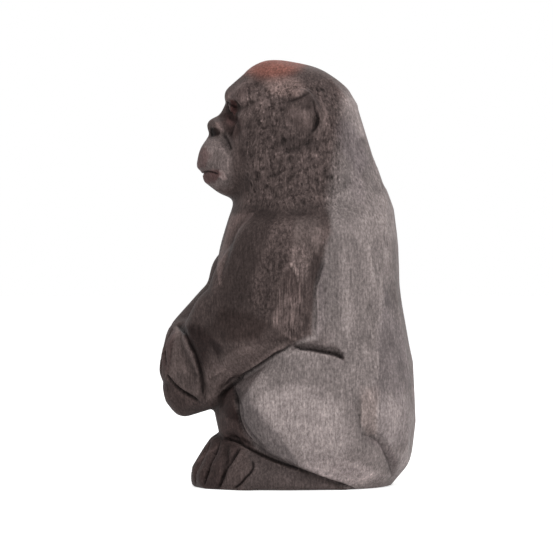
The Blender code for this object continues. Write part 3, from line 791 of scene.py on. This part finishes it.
ARM_PANELS = {
    # partly a paler stain, partly painted light on the strip of chest that faces up and forward
    "chest strip": (0.4, (2.2, 2.15, 2.15), [
        (-20.2, 95.3), (-11.1, 96.4), (-16.3, 91.1), (-19.8, 85.2), (-22.6, 76.4), (-23.7, 70.8),
        (-25.1, 77.8), (-22.6, 86.2),
    ]),
    # painted shade: the facet in front faces away from the lamps
    "front of the arm": (0.6, 0.72, [
        (-8.9, 97.9), (-4.1, 95.8), (-6.8, 87.5), (-10.0, 78.5), (-12.7, 72.9), (-14.1, 66.0),
        (-22.8, 58.4), (-28.7, 61.8), (-22.5, 72.2), (-19.0, 84.0), (-15.5, 90.3),
    ]),
    "middle of the arm": (0.4, 1.15, [
        (-4.7, 93.6), (1.1, 93.3), (0.8, 82.6), (-0.3, 77.4), (-3.0, 73.6), (-4.4, 67.1), (-7.5, 58.4),
        (-11.3, 61.6), (-14.1, 66.4), (-12.7, 73.3), (-9.9, 77.8), (-7.2, 87.4),
    ]),
    "rear of the arm": (0.4, (2.3, 2.35, 2.35), [
        (1.1, 84.3), (5.9, 85.4), (8.7, 82.2), (6.3, 72.9), (3.5, 73.6), (0.8, 78.5),
    ]),
    # painted light on the top of the shoulder, which faces up
    "top of the shoulder": (0.8, (1.55, 1.6, 1.6), [
        (2.5, 94.4), (10.5, 95.1), (11.8, 88.8), (10.5, 81.9), (6.3, 85.0), (1.5, 84.7),
    ]),
    "rear of the shoulder": (0.9, 1.5, [
        (7.0, 91.5), (14.5, 91.0), (13.6, 82.0), (12.2, 79.0), (8.5, 82.5),
    ]),
    # painted shadow in the corner of the shoulder
    "corner of the shoulder": (0.4, 0.85, [
        (8.4, 82.6), (12.8, 78.8), (11.5, 74.7), (9.4, 70.9), (8.4, 75.7),
    ]),
    "foot of the arm": (0.4, (1.55, 1.56, 1.56), [
        (-3.0, 71.9), (0.8, 76.4), (4.0, 71.9), (4.9, 66.7), (4.6, 58.5), (3.4, 53.0), (1.5, 51.9),
        (-6.5, 58.1), (-4.4, 65.7),
    ]),
    # painted shade under the roof of the arm
    "shade under the roof of the arm": (0.5, (0.68, 0.66, 0.66), [
        (-1.6, 73.3), (0.8, 77.1), (3.9, 73.3), (5.2, 68.5), (3.2, 66.0), (-1.0, 67.8), (-3.0, 70.5),
    ]),
    "beside the arm": (0.7, (0.76, 0.75, 0.76), [
        (9.9, 78.0), (12.5, 78.0), (13.6, 70.0), (13.0, 52.5), (9.9, 52.3),
    ]),
    "valley behind the arm": (0.5, 1.2, [(5.9, 73.6), (9.4, 72.2), (9.7, 52.3), (6.3, 50.9)]),
    # painted shadow that the ruff casts on the shoulder
    "shadow under the ruff": (1.5, 0.95, [
        (-15.5, 97.9), (4.3, 99.3), (8.4, 96.5), (1.5, 94.1), (-8.9, 93.7), (-14.5, 94.4),
    ]),
    "end of the forearm": (0.8, (1.65, 1.68, 1.68), [
        (-26.9, 43.9), (-15.5, 50.1), (-0.2, 51.8), (1.8, 49.7), (-10.3, 42.1), (-23.1, 33.1),
        (-28.3, 30.7), (-29.7, 38.3),
    ]),
    # painted shade on the middle of the forearm
    "shade on the middle of the forearm": (1.5, (0.58, 0.55, 0.54), [
        (-22.7, 63.3), (-13.0, 61.2), (-6.8, 57.7), (-10.3, 52.9), (-21.7, 51.5), (-28.6, 54.3),
    ]),
    # painted shade on the leaf that slopes into the sickle-shaped cut behind the elbow
    "shade on the leaf above the sickle": (0.4, (0.54, 0.52, 0.52), [
        (3.2, 50.4), (8.0, 52.2), (13.2, 52.3), (16.4, 50.9), (18.9, 47.9), (19.7, 45.2), (16.5, 46.6),
        (12.9, 47.6), (7.7, 48.6),
    ]),
    # painted shade in the sickle-shaped cut
    "sickle": (0.35, (0.55, 0.53, 0.53), [
        (3.9, 49.8), (7.7, 49.4), (12.9, 48.6), (16.7, 47.8), (19.7, 46.2), (19.3, 44.9), (16.5, 46.1),
        (12.9, 47.2), (3.9, 48.8),
    ]),
    # painted shade in the pit at the elbow
    "shade in the pit at the elbow": (0.4, (0.6, 0.58, 0.58), [(0.0, 50.6), (2.6, 51.2), (3.6, 49.6), (1.2, 48.4)]),
}
paint_panels_of_stain_and_shade(ARM_PANELS)

# %% Panels of the hand in front
# this hand shows on the left only, so the right side of the figure stays as it is
HAND_PANELS = {
    "side of the hand": (0.4, (1.74, 1.78, 1.78), [
        (-39.8, 56.4), (-38.4, 56.0), (-36.6, 53.6), (-34.8, 50.0), (-33.2, 46.4), (-31.4, 40.1),
        (-30.7, 33.8), (-31.0, 32.2), (-36.6, 34.1), (-41.8, 39.4), (-40.4, 47.8),
    ]),
    "lower hand": (0.6, (0.82, 0.79, 0.79), [
        (-43.0, 38.2), (-36.6, 32.6), (-31.4, 30.2), (-29.6, 27.4), (-34.2, 24.2), (-38.1, 24.6),
        (-42.6, 31.9),
    ]),
    # painted shadow of the hand on the forearm beside it
    "shadow beside the hand": (0.8, (0.36, 0.32, 0.32), [
        (-37.4, 56.2), (-31.9, 57.6), (-22.8, 49.6), (-24.9, 45.1), (-29.1, 43.0), (-30.5, 41.3),
        (-33.3, 48.3),
    ]),
    "front of the hand": (0.5, (1.12, 1.03, 1.04), [
        (-44.8, 42.0), (-43.7, 49.4), (-40.9, 54.7), (-39.1, 55.0), (-40.9, 47.7), (-42.3, 39.9),
        (-44.1, 39.9),
    ]),
    "low end of the wedge": (1.5, 0.74, [
        (-38.5, 39.0), (-31.5, 40.5), (-30.7, 33.8), (-31.0, 32.2), (-36.6, 34.1),
    ]),
}
on_left = step(points[:, 0], -2.0, 4.0)
paint_panels_of_stain_and_shade(HAND_PANELS, on_left)

# %% Panels of the haunch, back and feet
LOW_PANELS = {
    # painted shadow under the forearm
    "under the forearm": (0.7, (0.45, 0.43, 0.43), [
        (-19.3, 36.5), (-15.2, 39.0), (-8.0, 43.0), (-13.2, 36.2), (-15.4, 32.5), (-17.0, 29.5),
        (-19.0, 31.3),
    ]),
    # painted shade in the pocket under the elbow
    "shade in the pocket under the elbow": (0.6, (0.42, 0.38, 0.38), [
        (-24.6, 31.9), (-19.0, 36.4), (-19.0, 29.1), (-16.6, 23.5), (-21.5, 24.9), (-23.9, 29.1),
    ]),
    # partly darker stain, partly painted shade on the shin, which faces away from the lamps
    "shin": (0.8, (0.84, 0.78, 0.78), [
        (-26.0, 26.0), (-19.0, 29.0), (-16.2, 23.9), (-13.0, 18.3), (-11.0, 14.0), (-17.0, 16.2),
        (-26.0, 18.5),
    ]),
    # partly darker stain, partly painted shade on the toes, which face away from the lamps
    "toes": (1.2, (0.62, 0.58, 0.58), [
        (-38.0, 19.0), (-22.0, 18.0), (-16.5, 14.8), (-20.3, 9.0), (-24.3, 0.0), (-38.0, 0.0),
    ]),
    "top of the foot": (0.8, (1.15, 1.2, 1.22), [
        (-15.0, 14.2), (-8.0, 11.0), (4.0, 6.6), (18.0, 1.4), (18.0, -1.0), (-17.5, -1.0), (-12.0, 7.0),
    ]),
    "side of the haunch": (2.5, (1.6, 1.6, 1.61), [
        (-11.0, 30.0), (-5.0, 35.5), (4.0, 37.5), (14.6, 33.0), (19.7, 24.0), (22.1, 17.1), (18.0, 11.9),
        (6.3, 10.5), (0.5, 14.5), (-2.8, 19.5), (-8.9, 26.0),
    ]),
    # painted shade: the front facet of the haunch faces away from the lamps
    "shaded front facet of the haunch": (0.35, (0.74, 0.74, 0.75), [
        (-19.1, 35.3), (-13.0, 35.0), (-12.8, 30.5), (-8.9, 26.0), (-2.8, 19.5), (0.5, 14.5), (4.5, 9.6),
        (2.9, 8.0), (-6.1, 11.4), (-13.0, 18.3), (-16.2, 23.9), (-18.2, 30.1),
    ]),
    "haunch above the foot": (1.2, (1.7, 1.68, 1.7), [
        (4.2, 9.5), (18.0, 11.6), (25.6, 9.5), (33.5, 4.0), (21.5, 1.9), (10.4, 4.7),
    ]),
    "strip behind the back": (0.4, (0.86, 0.86, 0.88), [
        (33.1, 72.0), (40.4, 54.9), (43.2, 35.8), (40.4, 32.7), (31.0, 34.1), (31.7, 51.4),
    ]),
    "rump": (0.8, (1.25, 1.25, 1.27), [
        (31.0, 33.1), (40.3, 32.7), (44.8, 31.6), (44.8, 20.0), (38.9, 15.0), (36.2, 14.7), (31.3, 18.9),
    ]),
    "flat above the buttock": (0.9, (1.27, 1.21, 1.18), [
        (25.0, 35.6), (30.5, 35.6), (30.5, 19.3), (27.1, 19.3), (25.0, 23.8),
    ]),
    # painted shade on the slope before the flat, which faces down and away
    "edge of the flat": (0.8, 0.8, [
        (22.5, 31.5), (24.9, 30.8), (25.3, 19.1), (27.7, 18.0), (24.9, 16.7), (22.9, 21.1),
    ]),
    # painted shade in the scoop of the buttock
    "shaded scoop of the buttock": (0.6, (0.85, 0.83, 0.84), [
        (25.8, 18.2), (30.6, 18.2), (34.8, 15.4), (38.2, 10.9), (37.9, 6.4), (36.5, 2.9), (35.1, 9.1),
        (32.0, 14.3),
    ]),
    "low rim of the buttock": (1.0, (1.3, 1.31, 1.33), [
        (36.5, 3.0), (38.4, 7.5), (38.8, 11.5), (42.5, 14.5), (43.5, 6.0), (39.0, 0.5),
    ]),
}
paint_panels_of_stain_and_shade(LOW_PANELS)

# %% Panels of the head
HEAD_PANELS = {
    "below the crown": (1.4, (2.35, 2.25, 2.2), [
        (-8.9, 142.6), (-4.1, 144.2), (3.5, 143.4), (6.2, 140.2), (3.0, 136.6), (-1.6, 136.5),
        (-7.5, 137.9),
    ]),
    "behind the crown": (1.5, 0.8, [
        (5.4, 146.3), (12.0, 144.9), (16.9, 140.0), (13.4, 137.9), (8.5, 140.7), (5.0, 143.5),
    ]),
    # painted rim light along the back of the head
    "back of the head": (0.8, 1.3, [
        (17.2, 139.9), (22.5, 138.1), (27.3, 130.9), (29.4, 123.2), (24.6, 122.6), (21.1, 131.6),
    ]),
    # painted shade in the notch of the nape
    "shade in the notch of the nape": (1.0, 0.85, [(24.4, 111.9), (27.6, 111.2), (27.2, 107.7), (24.8, 108.0)]),
    "eye": (0.35, (0.62, 0.42, 0.42), [
        (-20.2, 135.7), (-18.1, 135.0), (-17.7, 131.8), (-18.8, 130.4), (-20.2, 131.5),
    ]),
    # painted highlight on the wing of the nose
    "highlight on the wing of the nose": (0.3, (1.4, 1.38, 1.38), [
        (-25.7, 128.1), (-24.8, 128.1), (-23.3, 125.6), (-22.3, 124.4), (-23.2, 123.9), (-24.6, 125.4),
    ]),
    "front of the muzzle": (0.5, (0.75, 0.64, 0.64), [
        (-31.8, 119.0), (-28.6, 119.0), (-28.2, 115.0), (-28.8, 111.8), (-31.8, 111.5),
    ]),
    "under the eye": (0.6, (0.62, 0.56, 0.56), [
        (-24.3, 130.0), (-21.0, 131.5), (-20.0, 130.4), (-16.7, 129.1), (-16.3, 124.9), (-19.2, 121.4),
        (-20.9, 123.8), (-22.6, 126.3),
    ]),
    "lips": (0.4, (0.7, 0.52, 0.52), [
        (-31.4, 110.9), (-24.1, 111.2), (-23.7, 109.5), (-25.1, 107.4), (-29.0, 106.0), (-31.1, 108.8),
    ]),
    # pink of the lips with a painted highlight at their corner
    "highlight at the corner of the lips": (0.3, (2.3, 2.2, 2.2), [
        (-24.0, 111.2), (-22.6, 110.8), (-21.2, 108.0), (-22.6, 107.3), (-24.0, 108.7),
    ]),
    "temple": (2.0, 1.5, [
        (-17.3, 137.9), (-8.9, 137.9), (-6.8, 133.7), (-8.9, 129.5), (-15.9, 130.9), (-18.0, 134.4),
    ]),
    # painted shade under the top of the ear
    "shade under the top of the ear": (0.6, 0.7, [
        (0.8, 134.9), (7.4, 137.7), (9.9, 133.5), (6.4, 132.1), (2.9, 132.8),
    ]),
    # painted shade inside the nostril
    "nostril": (0.3, (0.16, 0.14, 0.14), [
        (-27.3, 125.7), (-25.5, 126.0), (-23.9, 124.6), (-24.4, 123.2), (-26.6, 122.7), (-27.3, 123.9),
    ]),
    "muzzle behind the lips": (1.0, 0.95, [
        (-22.8, 116.5), (-18.0, 118.0), (-16.5, 110.0), (-17.5, 104.0), (-23.0, 103.5), (-24.5, 107.0),
        (-22.0, 111.5),
    ]),
    "nape below the ear": (1.2, (0.93, 0.92, 0.95), [
        (15.8, 125.5), (18.9, 116.8), (25.2, 109.8), (28.5, 113.0), (24.8, 124.0), (19.0, 129.5),
    ]),
    "above the ear": (1.2, 1.12, [
        (-12.0, 136.5), (0.0, 138.5), (6.0, 139.6), (6.0, 138.2), (3.8, 136.8), (0.0, 135.6),
        (-8.0, 131.0),
    ]),
    "back of the ear's root": (1.5, 0.74, [
        (-1.6, 122.4), (8.5, 123.1), (12.0, 120.3), (10.6, 117.5), (-1.3, 117.5), (-4.1, 119.9),
    ]),
    # painted rim light along the back of the neck
    "rim light of the neck": (1.5, (1.08, 1.07, 1.09), [
        (22.3, 112.8), (24.4, 113.2), (26.5, 106.9), (27.1, 100.0), (24.4, 98.6), (21.6, 103.4),
    ]),
    "bowl of the ear": (1.5, 1.35, [
        (-1.0, 131.0), (5.5, 132.0), (8.4, 130.2), (8.4, 127.0), (5.0, 124.8), (-0.5, 125.2),
    ]),
    "hollow under the eye": (0.7, (2.0, 1.8, 1.8), [
        (-22.0, 130.6), (-19.0, 130.8), (-17.6, 129.0), (-18.4, 126.6), (-21.0, 126.6),
    ]),
    "tip of the nose": (0.5, (0.72, 0.7, 0.7), [
        (-29.0, 126.0), (-28.4, 128.4), (-26.6, 129.4), (-25.6, 127.4), (-26.2, 126.2), (-27.6, 125.4),
    ]),
    "side of the forehead": (0.8, (0.84, 0.82, 0.82), [
        (-21.0, 135.2), (-17.0, 139.4), (-12.5, 141.8), (-9.5, 140.0), (-14.0, 137.5), (-17.5, 135.2),
    ]),
}
paint_panels_of_stain_and_shade(HEAD_PANELS)

# %% [markdown]
# Rubbing leaves thin pale lines on the ridges between planes and on the tips of the hair, and painted
# highlights lie along the ridges that face the lamps. The deepest grooves are painted with shade and stay
# nearly black. The hollows would show both, but only faintly, so the lines that catch the eye are drawn:
# how far the change reaches, its factor, and the places along it.

# %% Worn and highlighted edges, and painted shade in the grooves
# painted highlights on the ridges of the back, arm, haunch, brow, forehead, ear, nose and toe; the rows of
# hair are worn tips
WORN_AND_HIGHLIGHTED_EDGES = {
    "ridge of the back": (0.5, 1.5, [
        (33.8, 84.0), (32.4, 70.9), (31.4, 51.4), (30.7, 41.0), (30.7, 18.8),
    ]),
    "behind the arm": (0.35, 1.5, [(9.9, 70.9), (10.3, 61.9), (10.4, 52.9)]),
    "front of the roof on the arm": (0.45, 2.0, [(0.8, 78.5), (-1.0, 76.4), (-2.7, 73.3)]),
    "rear of the roof on the arm": (0.45, 2.0, [(0.8, 78.5), (3.2, 75.4), (4.9, 71.9)]),
    "first stroke at the elbow": (0.35, 2.0, [(4.6, 58.4), (4.9, 53.6)]),
    "second stroke at the elbow": (0.35, 2.0, [(2.5, 52.9), (3.5, 50.2)]),
    "forehead": (0.6, 1.7, [(-21.8, 135.9), (-19.4, 138.4), (-16.6, 140.6), (-12.6, 142.8)]),
    "rim of the ear": (0.7, 1.8, [(11.2, 135.4), (12.3, 133.2), (13.2, 130.6), (13.0, 127.6)]),
    "brow": (0.5, 1.7, [(-21.1, 136.8), (-19.5, 136.1), (-18.3, 133.9)]),
    "first row of hair": (0.8, 1.4, [(-4.1, 116.7), (4.3, 116.0), (12.3, 116.3)]),
    "second row of hair": (0.8, 1.35, [(-1.3, 104.8), (3.6, 104.8), (8.4, 105.9)]),
    "third row of hair": (0.8, 1.35, [(-16.6, 100.0), (-11.0, 101.1), (-5.4, 101.4)]),
    "inner toe": (0.5, 1.9, [(-31.4, 9.4), (-28.0, 12.2), (-24.4, 14.6)]),
    "ridge of the haunch": (0.5, 1.12, [
        (-12.8, 30.5), (-8.9, 26.0), (-2.8, 19.5), (0.5, 14.5), (4.5, 9.6),
    ]),
    "edge of the front facet of the arm": (0.4, 1.14, [
        (-4.7, 94.0), (-7.2, 87.4), (-10.0, 77.8), (-12.7, 72.9), (-14.1, 66.0),
    ]),
    "edge of the rear facet of the arm": (0.4, 1.14, [
        (1.1, 93.3), (0.8, 82.6), (-0.3, 77.4), (-3.0, 73.6), (-4.4, 67.1), (-7.5, 58.4),
    ]),
    "highlight on the wing of the nose": (0.32, 1.45, [(-25.2, 127.9), (-24.0, 126.2), (-22.7, 124.6)]),
    "bridge of the nose": (0.5, 1.3, [(-27.6, 128.4), (-25.6, 129.4), (-24.0, 130.4)]),
}
# painted shade in the grooves, the folds, the nostril and the gaps of the toes
SHADED_GROOVES = {
    "edge of the muzzle": (0.7, 0.7, [(-22.2, 123.2), (-21.1, 121.2), (-20.3, 119.2)]),
    "edge of the chest": (0.4, 0.7, [
        (-14.2, 96.0), (-17.3, 91.1), (-20.1, 85.2), (-22.2, 78.5), (-23.3, 72.2),
    ]),
    "crescent of the ear": (0.5, 0.75, [
        (8.1, 136.3), (9.5, 133.9), (10.3, 131.1), (10.4, 128.5), (9.5, 125.7), (7.6, 123.4),
    ]),
    "top of the ear": (0.6, 0.7, [(0.3, 134.9), (3.8, 136.2), (7.4, 138.0)]),
    "outer arc of the scoop": (0.5, 0.85, [(31.0, 19.6), (35.5, 16.0), (38.6, 11.6), (38.9, 8.0)]),
    "inside of the nostril": (0.7, 0.5, [(-26.6, 124.6), (-24.6, 124.6)]),
    "gap of the last toes": (0.6, 0.55, [
        (-18.3, 12.2), (-20.3, 9.0), (-22.0, 5.8), (-23.2, 3.0), (-24.3, 0.4),
    ]),
    "curve of the outer toe": (0.45, 0.6, [
        (-12.3, 10.0), (-12.0, 8.6), (-12.8, 6.6), (-14.5, 4.8), (-16.8, 2.2), (-18.4, 1.0),
    ]),
    "whole of the crescent": (0.6, 0.68, [
        (7.2, 135.2), (8.9, 133.4), (10.1, 130.8), (10.4, 128.0), (9.5, 125.4), (7.6, 123.3),
    ]),
}


def paint_lines_of_wear_and_shade(lines, where=1.0):
    """Makes the stain lighter or darker along each line, in the places that are asked for."""
    for reach, factor, drawn in lines.values():
        weight = np.exp(-((distance_to_line(y, z, drawn) / reach) ** 2)) * where
        stain[:] *= (factor**weight)[:, None]
    print("painted lines of wear, highlight and shade:", len(lines))


paint_lines_of_wear_and_shade(WORN_AND_HIGHLIGHTED_EDGES)
paint_lines_of_wear_and_shade(SHADED_GROOVES)
# painted shade along the edge of the hand
paint_lines_of_wear_and_shade({"edge of the hand": (0.5, 0.72, WEDGE_OF_THE_HAND)}, on_left)

# %% Soft patches and the red crown
# depth and height of the middle, reach of each, and the factor
SOFT_PATCHES = [
    (33.0, 95.0, 9.0, 22.0, 1.15),
    (16.0, 66.0, 6.0, 22.0, 0.9),
    (22.0, 112.0, 9.0, 14.0, 0.95),
    (-6.0, 124.0, 9.0, 5.0, 0.8),
    (-14.0, 106.0, 7.0, 8.0, 1.12),
]
RED = np.array((0.25, 0.105, 0.083))
for at_y, at_z, reach_y, reach_z, factor in SOFT_PATCHES:
    weight = np.exp(-(((y - at_y) / reach_y) ** 2) - ((z - at_z) / reach_z) ** 2)
    stain *= (factor**weight)[:, None]
crown = step(z, 139.5, 145.5) * step(-np.hypot(x / 13, (y + 5) / 11.5), -1.2, -0.75)
stain += crown[:, None] * (RED - stain)
print("mean stain:", stain.mean(axis=0).round(3))

# %% [markdown]
# The wood's own texture differs from place to place: flecks where the hair was gouged and on the rough
# planes of the arm, streaks where the plane at the foot of the arm was scraped, tufts in the hair. The
# material makes each texture once, and a number on the points says how strong it is where.

# %% Keep the finish on the points
LEVEL_WOOD = 0.5
FINE_WEIGHT, LESS_IN_HAIR = 1.2, 0.7
BROAD_WEIGHT, LESS_ON_SILVER = 0.55, 0.6


def keep_on_points(name, values):
    attribute = wood.attributes.new(name, "FLOAT", "POINT")
    attribute.data.foreach_set("value", np.clip(values, 0, 1).astype(np.float32))


def within(panel, edge):
    return step(inside_distance(y, z, ARM_PANELS[panel][2]), -edge, edge)


rough_arm = within("middle of the arm", 1.0) + within("rear of the arm", 1.0)
fine_depth = (FINE_WEIGHT - LESS_IN_HAIR * grown) * fine_hollow
broad_depth = BROAD_WEIGHT * (1 - LESS_ON_SILVER * silver) * broad_hollow
keep_on_points("hollow", LEVEL_WOOD + fine_depth + broad_depth)
# how strong each texture is everywhere, and how much stronger in the hair and in a place of its own
amounts = {
    "flecked": (0.22, 0.27, 0.25 * rough_arm),
    "streaked": (0.2, 0.22, 0.55 * within("foot of the arm", 2.0)),
    "speckled": (0.3, 0.1, -0.03 * silver),
    "tufted": (0.0, 0.5, 0.0),
}
for name, (everywhere, in_hair, elsewhere) in amounts.items():
    keep_on_points(name, everywhere + in_hair * grown + elsewhere)
colours = wood.color_attributes.new("stain", "FLOAT_COLOR", "POINT")
colours.data.foreach_set("color", np.insert(stain, 3, 1.0, axis=1).astype(np.float32).ravel())
print("kept on the points:", [attribute.name for attribute in wood.attributes if attribute.name[0] != "."])

# %% [markdown]
# The material builds on those numbers. Stained wood is matt, with pores and streaks that run along the
# grain, which goes up the block, so each noise is stretched along Z. The noises sway the stain's colour
# up and down by the amount kept on the points, the hollows darken it, and the same noises raise the
# grain a little, as a water stain does.

# %% The noises of the wood
# waves to the metre, stretch along the grain, detail and roughness
NOISES = {
    "streaks": (1500, 14, 3, 0.6),
    "speckle": (1500, 1.6, 3, 0.7),
    "clouds": (200, 5, 3, 0.6),
    "pores": (2600, 9, 2, 0.6),
    "flecks": (1150, 1.4, 2, 0.65),
    "tufts": (330, 1.0, 3, 0.6),
}
# the noise's low and high, and the name of the amount on the points
SWAYS = {
    "streaks": (0.32, 0.68, "streaked"),
    "flecks": (0.36, 0.68, "flecked"),
    "speckle": (0.3, 0.7, "speckled"),
    "tufts": (0.35, 0.65, "tufted"),
}
# a value's low and high, and the shade or roughness that each of them gives
PORES_SHADE = (0.34, 0.42, 0.72, 1.0)
CLOUDS_SHADE = (0.3, 0.7, 0.88, 1.12)
HOLLOWS_SHADE = (0.15, 0.9, 1.4, 0.3)
ROUGHNESS = (0.3, 0.7, 0.5, 0.68)
GRAIN_STANDS_PROUD = 0.16
GRAIN_STRENGTH = 0.8
print("noises:", len(NOISES))

# %% The stained wood


def stain_the_wood(material):
    """Builds the material of the whole figure."""
    material.use_nodes = True
    tree = material.node_tree
    place = add(tree, "ShaderNodeTexCoord")["Object"]

    def noise(scale, stretch, detail, roughness):
        """Noise that is stretched along the grain."""
        laid = add(tree, "ShaderNodeMapping", {"Vector": place, "Scale": (scale, scale, scale / stretch)})
        sizes = {"Vector": laid["Vector"], "Scale": 1.0, "Detail": detail, "Roughness": roughness}
        return add(tree, "ShaderNodeTexNoise", sizes)["Fac"]

    def ranged(value, low, high, to_low, to_high):
        """The value, with low and high turned into two others."""
        limits = {"From Min": low, "From Max": high, "To Min": to_low, "To Max": to_high}
        return add(tree, "ShaderNodeMapRange", {"Value": value, **limits})["Result"]

    def times(a, b):
        return add(tree, "ShaderNodeMath", {0: a, 1: b}, operation="MULTIPLY")["Value"]

    def kept(name):
        """A number that is kept on the points."""
        return add(tree, "ShaderNodeAttribute", attribute_name=name)["Fac"]

    def swayed(value, low, high, amount):
        """1 plus a noise that runs from -1 to 1, times an amount kept on the points."""
        sway = {0: ranged(value, low, high, -1.0, 1.0), 1: kept(amount), 2: 1.0}
        return add(tree, "ShaderNodeMath", sway, operation="MULTIPLY_ADD")["Value"]

    noises = {name: noise(*sizes) for name, sizes in NOISES.items()}
    pore_shade = ranged(noises["pores"], *PORES_SHADE)
    shade = times(ranged(noises["clouds"], *CLOUDS_SHADE), pore_shade)
    shade = times(shade, ranged(kept("hollow"), *HOLLOWS_SHADE))
    for name, sway in SWAYS.items():
        shade = times(shade, swayed(noises[name], *sway))
    colour = add(tree, "ShaderNodeVertexColor", layer_name="stain")["Color"]
    streaks = times(noises["streaks"], pore_shade)
    relief = add(tree, "ShaderNodeMath", {0: streaks, 1: noises["speckle"]}, operation="ADD")["Value"]
    raised = {"Height": relief, "Strength": GRAIN_STRENGTH, "Distance": GRAIN_STANDS_PROUD * MM}
    shaded = add(tree, "ShaderNodeVectorMath", {0: colour, "Scale": shade}, operation="SCALE")["Vector"]
    plug(tree, tree.nodes["Principled BSDF"], {
        "Base Color": shaded,
        "Roughness": ranged(noises["speckle"], *ROUGHNESS),
        "Metallic": 0.0,
        "IOR": 1.45,
        "Specular IOR Level": 0.08,
        "Normal": add(tree, "ShaderNodeBump", raised)["Normal"],
    })


stain_the_wood(stained_wood)
wood.materials.clear()
wood.materials.append(stained_wood)
for face in wood.polygons:
    face.use_smooth = True
print("material nodes:", len(stained_wood.node_tree.nodes))

# %% Stand the carved figure in for the part's plain solid
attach(figure, "root")
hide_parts("gorilla")
print("the carved figure stands in for: gorilla")

# %% [markdown]
# The photograph is a plain studio picture: white ground, white backdrop, soft light from above and
# behind the camera's right, and a long lens level with the figure. The white comes from what the camera
# sees directly, and not from more light, so that the stain keeps its depth. The floor still takes the
# figure's shadow.

# %% What the camera sees as white
WHITE = (1, 1, 1, 1)


def seen_directly(tree):
    """1 for the rays of the camera, of mirror images and of views through glass, or else 0."""
    path = add(tree, "ShaderNodeLightPath")
    seen = path["Is Camera Ray"]
    for kind in ("Is Glossy Ray", "Is Transmission Ray"):
        seen = add(tree, "ShaderNodeMath", {0: seen, 1: path[kind]}, operation="MAXIMUM")["Value"]
    return seen


print("colour of the floor and the backdrop as they are seen:", WHITE)

# %% The floor
FLOOR_REACH = 3.0
PAPER = (0.9, 0.9, 0.9, 1)
PAPER_SEEN = 0.75


def white_stage():
    """A floor that the camera sees as white, with the figure's soft shadow on it."""
    r = FLOOR_REACH
    mesh = bpy.data.meshes.new("floor")
    mesh.from_pydata([(-r, -r, 0), (r, -r, 0), (r, r, 0), (-r, r, 0)], [], [(0, 1, 2, 3)])
    floor = bpy.data.objects.new("floor", mesh)
    bpy.context.scene.collection.objects.link(floor)
    paper = bpy.data.materials.new("white_paper")
    paper.use_nodes = True
    tree = paper.node_tree
    seen = {0: seen_directly(tree), 1: PAPER_SEEN}
    plug(tree, tree.nodes["Principled BSDF"], {
        "Base Color": PAPER,
        "Roughness": 1.0,
        "Specular IOR Level": 0.0,
        "Emission Color": WHITE,
        "Emission Strength": add(tree, "ShaderNodeMath", seen, operation="MULTIPLY")["Value"],
    })
    mesh.materials.append(paper)


white_stage()
print("floor, m across:", 2 * FLOOR_REACH)

# %% The room and its two lamps
ROOM_LIGHT = 0.3
LAMPS_AIM = Vector((0, 0, 75)) * MM
LAMP_DISTANCE = 1.2
LAMP_ELEVATION = 40
# azimuth in degrees, size in metres and power in watts
LAMPS = {"window": (105, 0.7, 7.7), "far_side": (255, 0.9, 3.5)}


def white_room(brightness):
    """A world that lights evenly and that the camera sees as white."""
    world = bpy.data.worlds.new("white_room")
    bpy.context.scene.world = world
    world.use_nodes = True
    tree = world.node_tree
    light = tree.nodes["Background"]
    plug(tree, light, {"Color": WHITE, "Strength": brightness})
    seen = add(tree, "ShaderNodeBackground", {"Color": WHITE, "Strength": 1.0})["Background"]
    both = {"Fac": seen_directly(tree), 1: light.outputs["Background"], 2: seen}
    mix = add(tree, "ShaderNodeMixShader", both)["Shader"]
    plug(tree, tree.nodes["World Output"], {"Surface": mix})


def lamp(name, azimuth, size, power):
    """A square soft lamp that looks at the figure."""
    data = bpy.data.lights.new(name, "AREA")
    data.size = size
    data.energy = power
    a, e = math.radians(azimuth), math.radians(LAMP_ELEVATION)
    way = Vector((math.sin(a) * math.cos(e), -math.cos(a) * math.cos(e), math.sin(e)))
    thing = bpy.data.objects.new(name, data)
    thing.location = LAMPS_AIM + way * LAMP_DISTANCE
    thing.rotation_euler = (-way).to_track_quat("-Z", "Y").to_euler()
    bpy.context.scene.collection.objects.link(thing)


white_room(ROOM_LIGHT)
for name, (azimuth, size, power) in LAMPS.items():
    lamp(name, azimuth, size, power)
print("lamps:", list(LAMPS))

# %% [markdown]
# The camera stands at the figure's left side, almost level with it. The photograph hardly narrows
# towards the top or the far side, which a long lens from far away gives, so the distance is set first
# and the lens follows from the size of a pixel on the figure.

# %% The photograph's view
PICTURE_PIXELS = 553
PIXEL_SIZE = 0.3528
CAMERA_DISTANCE = 1.5
CAMERA_ELEVATION = 1.0
AIM = Vector((0, -4.06, 73.6)) * MM
elevation = math.radians(CAMERA_ELEVATION)
camera = bpy.data.objects.new("camera", bpy.data.cameras.new("camera"))
bpy.context.scene.collection.objects.link(camera)
way = Vector((math.cos(elevation), 0, math.sin(elevation)))
camera.location = AIM + way * CAMERA_DISTANCE
camera.rotation_euler = (-way).to_track_quat("-Z", "Y").to_euler()
camera.data.lens = camera.data.sensor_width * CAMERA_DISTANCE / (PICTURE_PIXELS * PIXEL_SIZE * MM)
camera.data.clip_start = 0.05
bpy.context.scene.camera = camera
bpy.context.scene.view_settings.view_transform = "Standard"
print("lens, mm:", round(camera.data.lens, 1))
